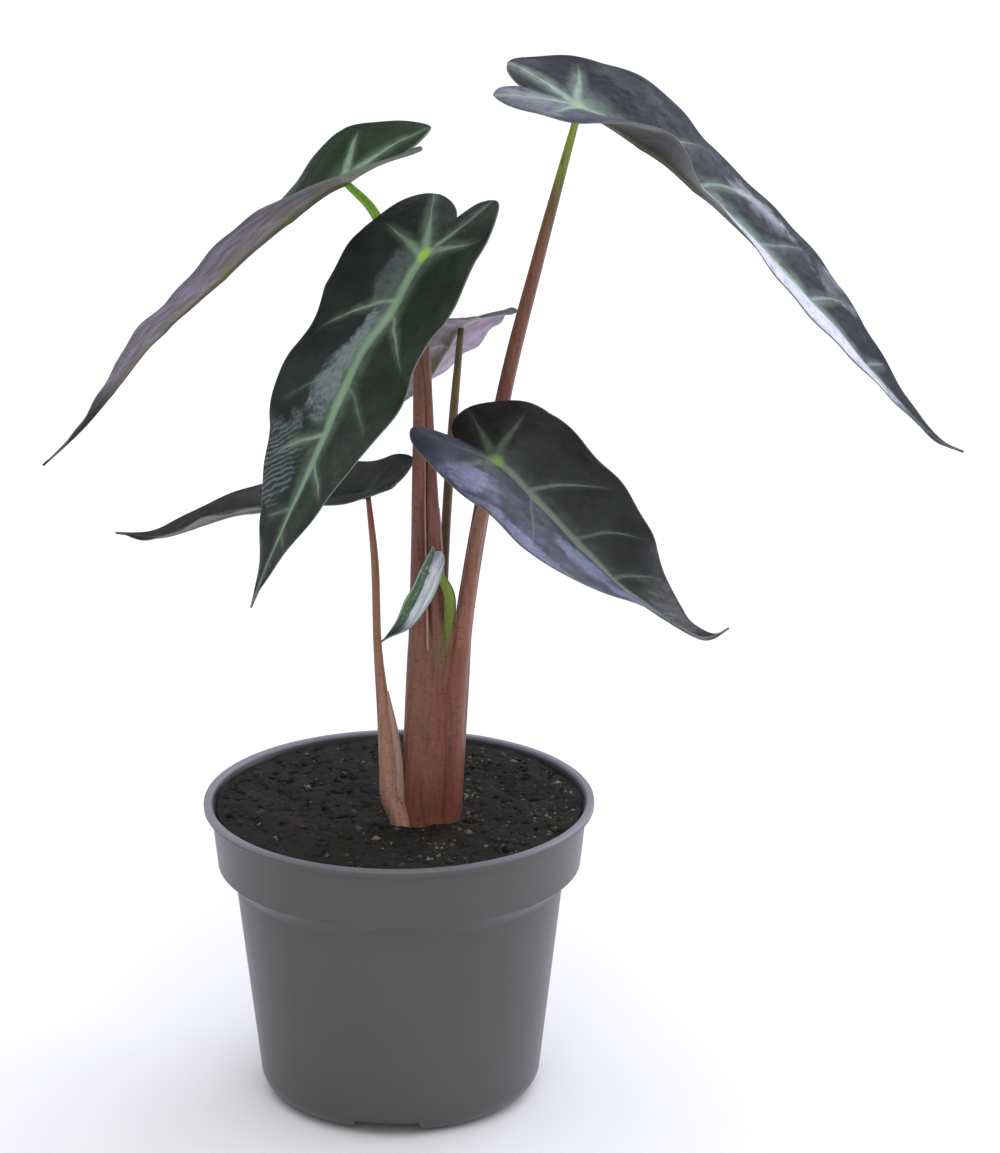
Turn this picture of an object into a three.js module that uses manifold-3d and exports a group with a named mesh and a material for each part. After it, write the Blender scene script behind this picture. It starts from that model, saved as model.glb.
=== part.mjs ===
// Potted Alocasia Polly: a young arrow-leaved aroid in a round grey nursery pot.
// Millimetres, +Z up. The origin is the centre of the pot's underside, and -Y is the front.
import * as THREE from "three";
import { mergeVertices } from "three/addons/utils/BufferGeometryUtils.js";
import Module from "manifold-3d";

const wasm = await Module();
wasm.setup();

// Gap kept between pieces that touch on the real plant.
const GAP = 0.3;
// How far a cutting solid runs past what it cuts.
const OVERCUT = 1;
const WELD = 0.0001;

// The pot: a thin moulded shell with a collar, a rolled lip and three raised drain channels.
const POT = {
  height: 95,
  lipRadius: 60,
  lipHeight: 2.2,
  lipBevel: 0.6,
  collarTopRadius: 58,
  collarFootRadius: 55.8,
  collarFootHeight: 75,
  bodyTopRadius: 50.4,
  bodyTopHeight: 68.7,
  bodyFootRadius: 43.4,
  cornerHeight: 8,
  footRadius: 34,
  wall: 1.3,
  cornerSteps: 3,
  shoulderSteps: 4,
  sides: 40,
};
const CHANNEL = {
  count: 3,
  firstAngle: -95,
  height: 5,
  roofWidth: 19.5,
  mouthWidth: 23,
  innerEnd: 14,
  holeRadius: 4,
  holeDistance: 27,
  holeSides: 16,
};

// Potting soil, a little below the lip: it dips towards the plant and is slightly lumpy.
const SOIL = {
  top: 92.8,
  dip: 3.2,
  dipSpread: 25,
  lump: 0.6,
  broadWave: [9, 11],
  fineWave: [4.3, 5.1],
  rings: 5,
  sides: 32,
};

// The buried corm that the petioles grow from, with its thick roots.
const CORM = { x: 8.5, y: -4, top: 80, bottom: 52, radius: 11, sides: 12, bands: 6 };
// A root's path is given as shares of its reach and of its drop.
const ROOTS = {
  count: 6,
  stagger: 0.3,
  reach: 33,
  drop: 39,
  path: [[0.1, 0.04], [0.55, 0.23], [0.9, 0.58], [1, 1]],
  startRadius: 1.7,
  endRadius: 0.9,
  sides: 5,
  stepsPerPoint: 2,
};

// The blades: thin, with a keel under the midrib. Widths are shares of a blade's half width,
// the sinus between the lobes starts at that share of their length, lobeInside is the two powers
// that round a lobe's inner edge, and the taper's power grows towards the tip.
const BLADE = {
  halfThickness: 0.35,
  keel: 1.1,
  keelHalfWidth: 1.3,
  keelLimit: 0.2,
  flatten: 0.5,
  steps: 18,
  taper: 1.05,
  taperGain: 0.45,
  waist: 0.1,
  waistReach: 0.1,
  sinus: 0.67,
  lobeCentre: 0.44,
  lobeRound: 0.5,
  lobeInside: [1.7, 0.5],
  lobeRows: [1, 0.98, 0.93, 0.84],
  throatRows: [0.67, 0.36],
  columns: [0.4, 0.72, 1],
};
const PETIOLE = { sides: 9, stepsPerPoint: 3 };

// One entry a leaf. The spine runs from between the lobes' ends, through the petiole's joint
// (its second point), down the midrib to the drip tip. Beside each spine point, pose gives the
// roll about the midrib and the rise of the left and right halves, in degrees. wave is the
// height and the number of the margin's waves. The petiole runs up from the corm to the joint,
// and each of its points ends with its radius.
const LEAVES = {
  new: {
    spine: [[11.3, -9, 178.6], [10.2, -12, 175.5], [7.2, -16, 168.2], [4.8, -18, 163.4],
      [1.6, -19.6, 158], [-4.9, -21, 153.4]],
    pose: [[30, 10, 70], [35, 8, 75], [35, 8, 75], [35, 10, 70], [30, 10, 60], [0, 20, 40]],
    halfWidth: 4.5,
    wave: [0, 1, 0],
    petiole: [[13, -1, 76, 1.6], [14.6, -3, 120, 1.5], [15.5, -6, 151, 1.8], [15.5, -9, 165, 1.7]],
    top: 1.1,
  },
  front: {
    spine: [[22, -9, 286], [9, -22, 274], [-0.5, -30, 259], [-10.5, -38, 246], [-21, -48, 224],
      [-33, -56, 199], [-42, -60, 178]],
    pose: [[-11, 14, 18], [-4, 12, 13], [0, 12, 10], [0, 12, -2], [0, 14, 6], [0, 12, 6], [0, 8, 8]],
    halfWidth: 29.6,
    wave: [0.9, 3, 0.05],
    petiole: [[11, -3.5, 76, 4], [11.8, -4.5, 120, 3.4], [12, -4, 155, 2.6], [10.8, -2.5, 187, 2],
      [9.6, 0.5, 214, 1.6], [8.8, -4, 242, 1.5]],
    top: 1.4,
  },
  back: {
    spine: [[27.6, -4, 250.2], [19, 12, 243], [10, 30, 223], [-1, 48, 206], [-13, 60, 192]],
    pose: [[0, 6, 0], [0, 6, 8], [0, 10, 24], [0, 12, 24], [0, 8, 8]],
    halfWidth: 18,
    wave: [0.6, 4, 0.4],
    petiole: [[9, 2.5, 76, 3], [12.5, 3, 125, 1.9], [14, 5, 170, 1.5], [16.5, 8, 210, 1.4]],
    top: 1.2,
  },
  top_right: {
    spine: [[31, 1, 321], [54.5, -2, 313.5], [74, -6, 302.5], [88, -8, 291.5], [102, -10, 279],
      [126, -14, 254], [147, -17, 230], [160, -18, 217], [169, -20, 213]],
    pose: [[-6, 6, 3], [-5, 14, 18], [-5, 13, 50], [-5, 11, 27], [-5, 10, 22], [-5, 6, 18],
      [-5, 6, 16], [-5, 4, 10], [0, 4, 4]],
    halfWidth: 29,
    wave: [2, 1.67, 0.67],
    petiole: [[14, -1, 76, 4], [17.8, -0.5, 127, 3.2], [21.3, 0.6, 162, 2.7], [31.8, 2.8, 222, 2.3],
      [42.2, -2, 267, 1.9]],
    top: 1.3,
  },
  top_left: {
    spine: [[10, -3, 303], [-15, 0, 291], [-35, 6, 275], [-57, 15.5, 252.5], [-75, 25, 233],
      [-95, 33, 206], [-110, 38, 190]],
    pose: [[0, 8, 12], [12, 33, 20], [4, 25, 20], [0, 8, 12], [0, 3, 12], [0, 3, 8],
      [0, 2, 4]],
    halfWidth: 26,
    wave: [0.3, 3, 0.3],
    petiole: [[7.4, -6.7, 76, 6.3], [7, -6.4, 105, 5.4], [6.3, -5.5, 130, 3.9],
      [6.3, -4.5, 155, 2.9], [6.4, -2.5, 190, 2.1], [6.4, -0.9, 238, 1.8], [1.5, 2, 261, 1.6],
      [-6, 2, 280, 1.5]],
    top: 1.4,
  },
  right: {
    spine: [[12.5, -9, 216], [30, -24, 211], [48.5, -34, 194.5], [65, -44.5, 180.5], [80.5, -52, 171.5],
      [91, -56, 167], [98, -60, 172]],
    pose: [[-2, 22, 26], [-14, 24, 18], [-10, 25, 20], [-3, 17, 25], [8, 6, 22], [8, 12, 16],
      [0, 8, 8]],
    halfWidth: 26,
    wave: [0.5, 4, 0.6],
    petiole: [[13.8, -7, 76, 3.9], [17, -6.8, 127, 3.1], [20.8, -6.5, 160, 2.4], [24.5, -9, 185, 2],
      [28, -16, 200, 1.8]],
    top: 1.5,
  },
  left: {
    spine: [[2.5, -7, 199.5], [-9, -2, 194], [-30, 6, 188], [-51, 14, 182], [-73, 20, 173],
      [-87, 24, 173]],
    pose: [[0, 6, 24], [-1, 9, 26], [-4, 13, 26], [-4, 14, 20], [0, 12, 15], [0, 8, 8]],
    halfWidth: 21,
    wave: [0.5, 4, 0.5],
    petiole: [[2.2, -9.4, 76, 3], [1, -9.4, 90, 3.3], [-2.3, -8.3, 99, 3.3], [-3.2, -7.4, 109, 2.8],
      [-4.4, -6, 125, 2.1], [-6.2, -4, 147, 1.3], [-6.8, -3, 172, 1.2]],
    wing: [[1, -9.5, 76, 0.8], [0.6, -8.8, 100, 1.4], [-0.6, -7.6, 116, 1.3], [-3.4, -6, 132, 0.6]],
    top: 1,
  },
};

// Half a blade that rises by less than this, in radians, is drawn level.
const LEVEL = 0.001;
const UP = new THREE.Vector3(0, 0, 1);
const BACK = new THREE.Vector3(0, 1, 0);
const radians = THREE.MathUtils.degToRad;

function smoothCurve(points) {
  const knots = points.map(([x, y, z]) => new THREE.Vector3(x, y, z));
  return new THREE.CatmullRomCurve3(knots, false, "catmullrom", 0.5);
}

// A geometry from a list of triangles' corners, its equal corners joined and empty faces dropped.
function weld(geometry) {
  geometry.deleteAttribute("normal");
  geometry.deleteAttribute("uv");
  const welded = mergeVertices(geometry, WELD);
  const corners = welded.index.array;
  const kept = [];
  for (let i = 0; i < corners.length; i += 3) {
    const [a, b, c] = corners.slice(i, i + 3);
    if (a !== b && b !== c && c !== a) kept.push(a, b, c);
  }
  welded.setIndex(kept);
  return welded;
}

function toSolid(geometry) {
  const welded = weld(geometry.clone());
  const mesh = new wasm.Mesh({
    numProp: 3,
    vertProperties: new Float32Array(welded.attributes.position.array),
    triVerts: new Uint32Array(welded.index.array),
  });
  return new wasm.Manifold(mesh);
}

function toGeometry(solid) {
  const mesh = solid.getMesh();
  const geometry = new THREE.BufferGeometry();
  geometry.setAttribute("position", new THREE.BufferAttribute(mesh.vertProperties.slice(), 3));
  geometry.setIndex(new THREE.BufferAttribute(mesh.triVerts.slice(), 1));
  return geometry;
}

// The biggest of the bodies that a cut leaves.
function mainBody(solid) {
  const bodies = solid.decompose();
  return bodies.reduce((best, body) => (body.volume() > best.volume() ? body : best));
}

// Outer edge of a half blade. along is the distance from the petiole's joint as a share of the
// blade's length, or, where it is negative, of the lobes' length.
function outerShare(along) {
  if (along >= 0) {
    const power = BLADE.taper + BLADE.taperGain * along * along;
    const taper = Math.pow(Math.max(0, 1 - Math.pow(along, 3)), power);
    return taper * (1 - BLADE.waist * Math.exp(-along / BLADE.waistReach));
  }
  const round = Math.pow(Math.max(0, 1 - along * along), BLADE.lobeRound);
  return BLADE.lobeCentre + (1 - BLADE.waist - BLADE.lobeCentre) * round;
}

// Inner edge of a half blade: the midrib, except behind the sinus, where the lobes part.
function innerShare(along) {
  const past = THREE.MathUtils.clamp((-along - BLADE.sinus) / (1 - BLADE.sinus), 0, 1);
  const [start, round] = BLADE.lobeInside;
  return BLADE.lobeCentre * (1 - Math.pow(1 - Math.pow(past, start), round));
}

// One row across a blade: its frame, and a function from a sideways distance to a point.
function bladeRow(leaf, spine, pose, distance, lobeLength, bladeLength) {
  const t = spine.getUtoTmapping(0, THREE.MathUtils.clamp(distance, WELD, spine.getLength()));
  const centre = spine.getPoint(t);
  const tangent = spine.getTangent(t);
  const lean = pose.getPoint(t);
  const level = new THREE.Vector3().crossVectors(tangent, UP).normalize();
  const right = level.clone().applyAxisAngle(tangent, radians(-lean.x));
  const normal = new THREE.Vector3().crossVectors(right, tangent);
  const fromJoint = distance - lobeLength;
  const along = fromJoint >= 0 ? fromJoint / bladeLength : fromJoint / lobeLength;
  const [waveHeight, waveCount, wavePhase] = leaf.wave;
  const wave = waveHeight * Math.sin(2 * Math.PI * (waveCount * fromJoint / bladeLength + wavePhase));
  const outer = leaf.halfWidth * outerShare(along);
  const inner = leaf.halfWidth * innerShare(along);
  const keel = BLADE.keel * (along >= 0 ? 1 - along : Math.max(0, 1 + along / BLADE.sinus));

  function point(side, across) {
    const rise = radians(side > 0 ? lean.z : lean.y);
    const bend = -BLADE.flatten * rise / leaf.halfWidth;
    let sideways = across;
    let height = 0;
    if (Math.abs(rise) > LEVEL) {
      sideways = (Math.sin(rise + bend * across) - Math.sin(rise)) / bend;
      height = (Math.cos(rise) - Math.cos(rise + bend * across)) / bend;
    }
    const ripple = side * wave * Math.pow(across / leaf.halfWidth, 3);
    return centre.clone().addScaledVector(right, side * sideways)
      .addScaledVector(normal, height + ripple);
  }
  return { point, inner, outer, keel };
}

// The blade's middle surface, as two halves that meet on the midrib.
function bladeSkin(leaf) {
  const spine = smoothCurve(leaf.spine);
  const pose = smoothCurve(leaf.pose);
  const lengths = spine.getLengths();
  const total = lengths[lengths.length - 1];
  const joint = 1 / (leaf.spine.length - 1);
  const lobeLength = lengths[Math.round(joint * (lengths.length - 1))];
  const bladeLength = total - lobeLength;
  const behind = [...BLADE.lobeRows, ...BLADE.throatRows].map((share) => lobeLength * (1 - share));
  const ahead = Array.from({ length: BLADE.steps + 1 },
    (_, i) => lobeLength + bladeLength * i / BLADE.steps);
  const rows = [...behind, ...ahead]
    .map((distance) => bladeRow(leaf, spine, pose, distance, lobeLength, bladeLength));
  const position = [];
  const below = [];

  function corner(row, side, column) {
    const width = row.outer - row.inner;
    const keelShare = Math.min(BLADE.keelLimit, BLADE.keelHalfWidth / Math.max(width, WELD));
    const share = column < 2 ? column * keelShare : BLADE.columns[column - 2];
    const keel = column === 0 && row.inner === 0 ? row.keel : 0;
    return { at: row.point(side, row.inner + width * share), below: BLADE.halfThickness + keel };
  }

  for (const side of [-1, 1]) {
    for (let r = 0; r < rows.length - 1; r += 1) {
      for (let c = 0; c < BLADE.columns.length + 1; c += 1) {
        const near = corner(rows[r], side, c);
        const out = corner(rows[r], side, c + 1);
        const far = corner(rows[r + 1], side, c + 1);
        const on = corner(rows[r + 1], side, c);
        const faces = side > 0 ? [near, out, far, near, far, on] : [near, far, out, near, on, far];
        for (const { at, below: depth } of faces) {
          position.push(at.x, at.y, at.z);
          below.push(depth);
        }
      }
    }
  }
  const geometry = new THREE.BufferGeometry();
  geometry.setAttribute("position", new THREE.Float32BufferAttribute(position, 3));
  geometry.setAttribute("below", new THREE.Float32BufferAttribute(below, 1));
  return weld(geometry);
}

// A closed solid round a skin: halfThickness above it, its own depth below it, and grow all over.
function thicken(skin, grow) {
  skin.computeVertexNormals();
  const { position, normal, below } = skin.attributes;
  const corners = skin.index.array;
  const count = position.count;
  const points = [];
  const base = new THREE.Vector3();
  const out = new THREE.Vector3();
  for (const top of [true, false]) {
    for (let i = 0; i < count; i += 1) {
      base.fromBufferAttribute(position, i);
      out.fromBufferAttribute(normal, i);
      const offset = top ? BLADE.halfThickness + grow : -below.getX(i) - grow;
      base.addScaledVector(out, offset);
      points.push(base.x, base.y, base.z);
    }
  }
  const faces = [];
  const edges = new Set();
  for (let i = 0; i < corners.length; i += 3) {
    const [a, b, c] = corners.slice(i, i + 3);
    faces.push(a, b, c, a + count, c + count, b + count);
    for (const [from, to] of [[a, b], [b, c], [c, a]]) edges.add(`${from} ${to}`);
  }
  for (const edge of edges) {
    const [from, to] = edge.split(" ").map(Number);
    if (edges.has(`${to} ${from}`)) continue;
    faces.push(to, from, from + count, to, from + count, to + count);
  }
  const geometry = new THREE.BufferGeometry();
  geometry.setAttribute("position", new THREE.Float32BufferAttribute(points, 3));
  geometry.setIndex(faces);
  return geometry;
}

// A round tube along points that each end with their radius, closed at both ends.
function taperedTube(points, sides, stepsPerPoint, grow = 0) {
  const path = smoothCurve(points);
  const girth = smoothCurve(points.map(([, , , radius]) => [radius, 0, 0]));
  const steps = stepsPerPoint * (points.length - 1);
  const rings = [];
  for (let i = 0; i <= steps; i += 1) {
    const t = i / steps;
    const centre = path.getPoint(t);
    const tangent = path.getTangent(t);
    if (i === 0) centre.addScaledVector(tangent, -grow);
    if (i === steps) centre.addScaledVector(tangent, grow);
    const across = new THREE.Vector3().crossVectors(tangent, BACK).normalize();
    const radius = girth.getPoint(t).x + grow;
    const ring = Array.from({ length: sides }, (_, k) => across.clone()
      .applyAxisAngle(tangent, 2 * Math.PI * k / sides).multiplyScalar(radius).add(centre));
    rings.push({ centre, ring });
  }
  const position = [];
  const face = (...corners) => corners.forEach((p) => position.push(p.x, p.y, p.z));
  for (let k = 0; k < sides; k += 1) {
    const next = (k + 1) % sides;
    for (let i = 0; i < steps; i += 1) {
      const low = rings[i].ring;
      const high = rings[i + 1].ring;
      face(low[k], low[next], high[next]);
      face(low[k], high[next], high[k]);
    }
    face(rings[0].centre, rings[0].ring[next], rings[0].ring[k]);
    face(rings[steps].centre, rings[steps].ring[k], rings[steps].ring[next]);
  }
  const geometry = new THREE.BufferGeometry();
  geometry.setAttribute("position", new THREE.Float32BufferAttribute(position, 3));
  return weld(geometry);
}

// A petiole up to its joint, with the wing of its sheath where that stands off the stem.
function petioleSolid(leaf, grow) {
  const route = [...leaf.petiole, [...leaf.spine[1], leaf.top]];
  const stem = toSolid(taperedTube(route, PETIOLE.sides, PETIOLE.stepsPerPoint, grow));
  if (!leaf.wing) return stem;
  return stem.add(toSolid(taperedTube(leaf.wing, PETIOLE.sides, PETIOLE.stepsPerPoint, grow)));
}

// Radius of the collar's outside, which widens evenly from its foot to the pot's top.
function collarRadius(height) {
  const share = (height - POT.collarFootHeight) / (POT.height - POT.collarFootHeight);
  return THREE.MathUtils.lerp(POT.collarFootRadius, POT.collarTopRadius, share);
}

// Half section of the pot's outside, from the foot up to the collar's foot, moved inwards.
function wallProfile(inset) {
  const points = [];
  for (let i = 0; i <= POT.cornerSteps; i += 1) {
    const turn = Math.PI / 2 * i / POT.cornerSteps;
    points.push([
      POT.footRadius + (POT.bodyFootRadius - POT.footRadius) * Math.sin(turn) - inset,
      inset + (POT.cornerHeight + inset) * (1 - Math.cos(turn)),
    ]);
  }
  for (let i = 0; i <= POT.shoulderSteps; i += 1) {
    const share = i / POT.shoulderSteps;
    points.push([
      THREE.MathUtils.lerp(POT.bodyTopRadius, POT.collarFootRadius,
        THREE.MathUtils.smoothstep(share, 0, 1)) - inset,
      THREE.MathUtils.lerp(POT.bodyTopHeight, POT.collarFootHeight, share),
    ]);
  }
  return points;
}

function latheZ(points, sides) {
  const profile = points.map(([radius, height]) => new THREE.Vector2(radius, height));
  return new THREE.LatheGeometry(profile, sides).rotateX(Math.PI / 2);
}

function potOutside() {
  const lipFoot = POT.height - POT.lipHeight;
  const points = [
    [0, 0],
    ...wallProfile(0),
    [collarRadius(lipFoot - POT.lipBevel), lipFoot - POT.lipBevel],
    [POT.lipRadius - POT.lipBevel, lipFoot],
    [POT.lipRadius, lipFoot + POT.lipBevel],
    [POT.lipRadius, POT.height - POT.lipBevel],
    [POT.lipRadius - POT.lipBevel, POT.height],
    [0, POT.height],
  ];
  return toSolid(latheZ(points, POT.sides));
}

function potInside() {
  const top = POT.height + OVERCUT;
  const points = [
    [0, POT.wall],
    ...wallProfile(POT.wall),
    [collarRadius(top) - POT.wall, top],
    [0, top],
  ];
  return toSolid(latheZ(points, POT.sides));
}

// One radial drain channel under the floor: a trapezium that runs out through the foot.
function channelBar(index, grow) {
  const height = CHANNEL.height + grow;
  const roof = CHANNEL.roofWidth / 2 + grow;
  const mouth = CHANNEL.mouthWidth / 2 + grow;
  const section = new THREE.Shape();
  section.moveTo(-mouth, -OVERCUT);
  section.lineTo(mouth, -OVERCUT);
  section.lineTo(roof, height);
  section.lineTo(-roof, height);
  section.closePath();
  const length = POT.bodyTopRadius - CHANNEL.innerEnd + grow;
  const bar = new THREE.ExtrudeGeometry(section, { depth: length, bevelEnabled: false, steps: 1 });
  bar.rotateX(Math.PI / 2).rotateZ(Math.PI / 2);
  bar.translate(CHANNEL.innerEnd - grow, 0, 0);
  bar.rotateZ(radians(CHANNEL.firstAngle + 360 / CHANNEL.count * index));
  return toSolid(bar);
}

function drainHole(index) {
  const { holeRadius, holeDistance, holeSides, height } = CHANNEL;
  const depth = POT.wall + 2 * OVERCUT;
  const hole = new THREE.CylinderGeometry(holeRadius, holeRadius, depth, holeSides);
  hole.rotateX(Math.PI / 2).translate(holeDistance, 0, height + POT.wall / 2);
  hole.rotateZ(radians(CHANNEL.firstAngle + 360 / CHANNEL.count * index));
  return toSolid(hole);
}

function makePot() {
  const outside = potOutside();
  let pot = outside.subtract(potInside());
  for (let i = 0; i < CHANNEL.count; i += 1) {
    pot = pot.add(channelBar(i, POT.wall).intersect(outside));
  }
  for (let i = 0; i < CHANNEL.count; i += 1) {
    pot = pot.subtract(channelBar(i, 0)).subtract(drainHole(i));
  }
  return pot;
}

function soilHeight(x, y) {
  const broad = Math.sin(x / SOIL.broadWave[0] + 1) * Math.cos(y / SOIL.broadWave[1]);
  const fine = Math.sin(x / SOIL.fineWave[0] + y / SOIL.fineWave[1]) / 2;
  const fromPlant = Math.hypot(x - CORM.x, y - CORM.y) / SOIL.dipSpread;
  return SOIL.top - SOIL.dip * Math.exp(-fromPlant * fromPlant) + SOIL.lump * (broad + fine);
}

// The soil before the plant and the channels are cut out of it.
function soilBlock() {
  const inset = POT.wall + GAP;
  const rim = collarRadius(SOIL.top) - inset;
  const profile = [[0, inset], ...wallProfile(inset)];
  for (let i = 0; i <= SOIL.rings; i += 1) {
    profile.push([rim * (1 - i / SOIL.rings), SOIL.top]);
  }
  const block = latheZ(profile, SOIL.sides);
  const { position } = block.attributes;
  for (let i = 0; i < position.count; i += 1) {
    if (Math.abs(position.getZ(i) - SOIL.top) > WELD) continue;
    position.setZ(i, soilHeight(position.getX(i), position.getY(i)));
  }
  return toSolid(block);
}

function cormSolid(grow) {
  const middle = (CORM.top + CORM.bottom) / 2;
  const half = (CORM.top - CORM.bottom) / 2 + grow;
  const profile = [[0, middle - half]];
  for (let i = 1; i < CORM.bands; i += 1) {
    const turn = Math.PI * i / CORM.bands;
    profile.push([(CORM.radius + grow) * Math.sin(turn), middle - half * Math.cos(turn)]);
  }
  profile.push([0, middle + half]);
  let corm = toSolid(latheZ(profile, CORM.sides).translate(CORM.x, CORM.y, 0));
  for (let i = 0; i < ROOTS.count; i += 1) {
    const turn = 2 * Math.PI * (i + ROOTS.stagger * (i % 2)) / ROOTS.count;
    const root = ROOTS.path.map(([out, down]) => [
      THREE.MathUtils.lerp(CORM.x, ROOTS.reach * Math.cos(turn), out),
      THREE.MathUtils.lerp(CORM.y, ROOTS.reach * Math.sin(turn), out),
      middle - ROOTS.drop * down,
      THREE.MathUtils.lerp(ROOTS.startRadius, ROOTS.endRadius, down),
    ]);
    corm = corm.add(toSolid(taperedTube(root, ROOTS.sides, ROOTS.stepsPerPoint, grow)));
  }
  return corm;
}

// Each petiole is cut clear of its own blade, of the corm and of the younger ones it wraps.
function makePetioles(grownCorm) {
  const petioles = {};
  const grown = [];
  for (const [name, leaf] of Object.entries(LEAVES)) {
    const blade = toSolid(thicken(bladeSkin(leaf), GAP));
    let petiole = petioleSolid(leaf, 0).subtract(blade).subtract(grownCorm);
    for (const younger of grown) petiole = petiole.subtract(younger);
    petioles[name] = mainBody(petiole);
    grown.push(petioleSolid(leaf, GAP));
  }
  return { petioles, grown };
}

function makeSoil(grownCorm, grownPetioles) {
  let soil = soilBlock().subtract(grownCorm);
  for (const petiole of grownPetioles) soil = soil.subtract(petiole);
  for (let i = 0; i < CHANNEL.count; i += 1) {
    soil = soil.subtract(channelBar(i, POT.wall + GAP));
  }
  return mainBody(soil);
}

const MATERIALS = {
  pot: { color: 0x5c5c5e, roughness: 0.6, metalness: 0 },
  soil: { color: 0x26231e, roughness: 1, metalness: 0 },
  corm: { color: 0x8a6a4c, roughness: 0.9, metalness: 0 },
  petiole: { color: 0x7c4a3c, roughness: 0.5, metalness: 0 },
  blade: { color: 0x22332c, roughness: 0.35, metalness: 0 },
  new: { color: 0x5f8f5a, roughness: 0.4, metalness: 0 },
};

function mesh(name, geometry, look) {
  const made = new THREE.Mesh(geometry, new THREE.MeshStandardMaterial(MATERIALS[look]));
  made.name = name;
  return made;
}

const plant = new THREE.Group();
const grownCorm = cormSolid(GAP);
const { petioles, grown } = makePetioles(grownCorm);

plant.add(mesh("pot", toGeometry(makePot()), "pot"));
plant.add(mesh("soil", toGeometry(makeSoil(grownCorm, grown)), "soil"));
plant.add(mesh("corm", toGeometry(cormSolid(0)), "corm"));
for (const [name, leaf] of Object.entries(LEAVES)) {
  plant.add(mesh(`leaf_${name}`, thicken(bladeSkin(leaf), 0), name === "new" ? "new" : "blade"));
  plant.add(mesh(`petiole_${name}`, toGeometry(petioles[name]), "petiole"));
}

export default plant;
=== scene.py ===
# Looks for a potted Alocasia Polly: blades, stalks, crumbly soil and nursery pot round the frame.
# Lengths in the tables are millimetres; the meshes are made in metres.
import random
from math import atan2, copysign, cos, exp, hypot, pi, radians, sin, sqrt
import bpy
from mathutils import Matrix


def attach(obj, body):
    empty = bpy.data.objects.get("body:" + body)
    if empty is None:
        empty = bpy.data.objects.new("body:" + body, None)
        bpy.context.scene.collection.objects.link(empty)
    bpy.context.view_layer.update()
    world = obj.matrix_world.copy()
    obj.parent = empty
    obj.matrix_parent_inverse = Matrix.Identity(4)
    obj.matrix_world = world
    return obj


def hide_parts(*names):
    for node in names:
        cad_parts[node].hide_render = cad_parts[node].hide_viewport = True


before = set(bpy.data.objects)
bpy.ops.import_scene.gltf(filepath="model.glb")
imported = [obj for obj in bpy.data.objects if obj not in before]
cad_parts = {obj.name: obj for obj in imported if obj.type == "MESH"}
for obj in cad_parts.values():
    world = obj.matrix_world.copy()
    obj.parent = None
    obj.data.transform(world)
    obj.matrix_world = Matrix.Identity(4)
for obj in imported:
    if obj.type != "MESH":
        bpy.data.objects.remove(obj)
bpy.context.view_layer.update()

from types import SimpleNamespace

import bmesh
import bpy
import numpy as np
from mathutils import Vector, noise

MM = 0.001
# No length at all, and a rise in radians that counts as none.
TINY = 1e-9
LEVEL = 0.001

# The pot, as the frame has it.
POT = SimpleNamespace(
    height=95, lip_radius=60, lip_height=2.2, lip_bevel=0.6, collar_top_radius=58,
    collar_foot_radius=55.8, collar_foot_height=75, body_top_radius=50.4, body_top_height=68.7,
    body_foot_radius=43.4, corner_height=8, foot_radius=34, wall=1.3, sides=192)
# How close two of its points are to be joined, and from how many degrees on an edge is sharp.
POT_WELD = 0.002
POT_CREASE = 32
CHANNEL = SimpleNamespace(
    count=3, first_angle=-95, height=5, roof_width=19.5, mouth_width=23, inner_end=14,
    hole_radius=4, hole_distance=27)
SOIL = SimpleNamespace(
    top=92.8, dip=3.2, dip_spread=25, lump=0.6, broad=(9, 11), fine=(4.3, 5.1), rings=96,
    sides=240, skirt=4)
PLANT = (8.5, -4)
# Between the soil and the wall.
GAP = 0.3
# Number of crumbs, their smallest and largest size, and how far they stay from the wall.
CRUMBS = ((5200, 0.35, 1.1, 0.8), (420, 0.9, 2.1, 2.2))

# The blades' outline and section, and how close two of their points are to be joined.
BLADE = SimpleNamespace(
    flatten=0.5, taper=1.05, taper_gain=0.45, waist=0.1, waist_reach=0.1, sinus=0.67,
    lobe_centre=0.44, lobe_round=0.5, lobe_inside=(1.7, 0.5), top=0.33, edge=0.16, keel=0.9,
    keel_width=1.1)
BLADE_WELD = 0.004
# Rows of points behind and before the joint, and columns in each half.
BLADE_GRID = (40, 150, 30)
NEW_GRID = (14, 60, 14)

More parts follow.
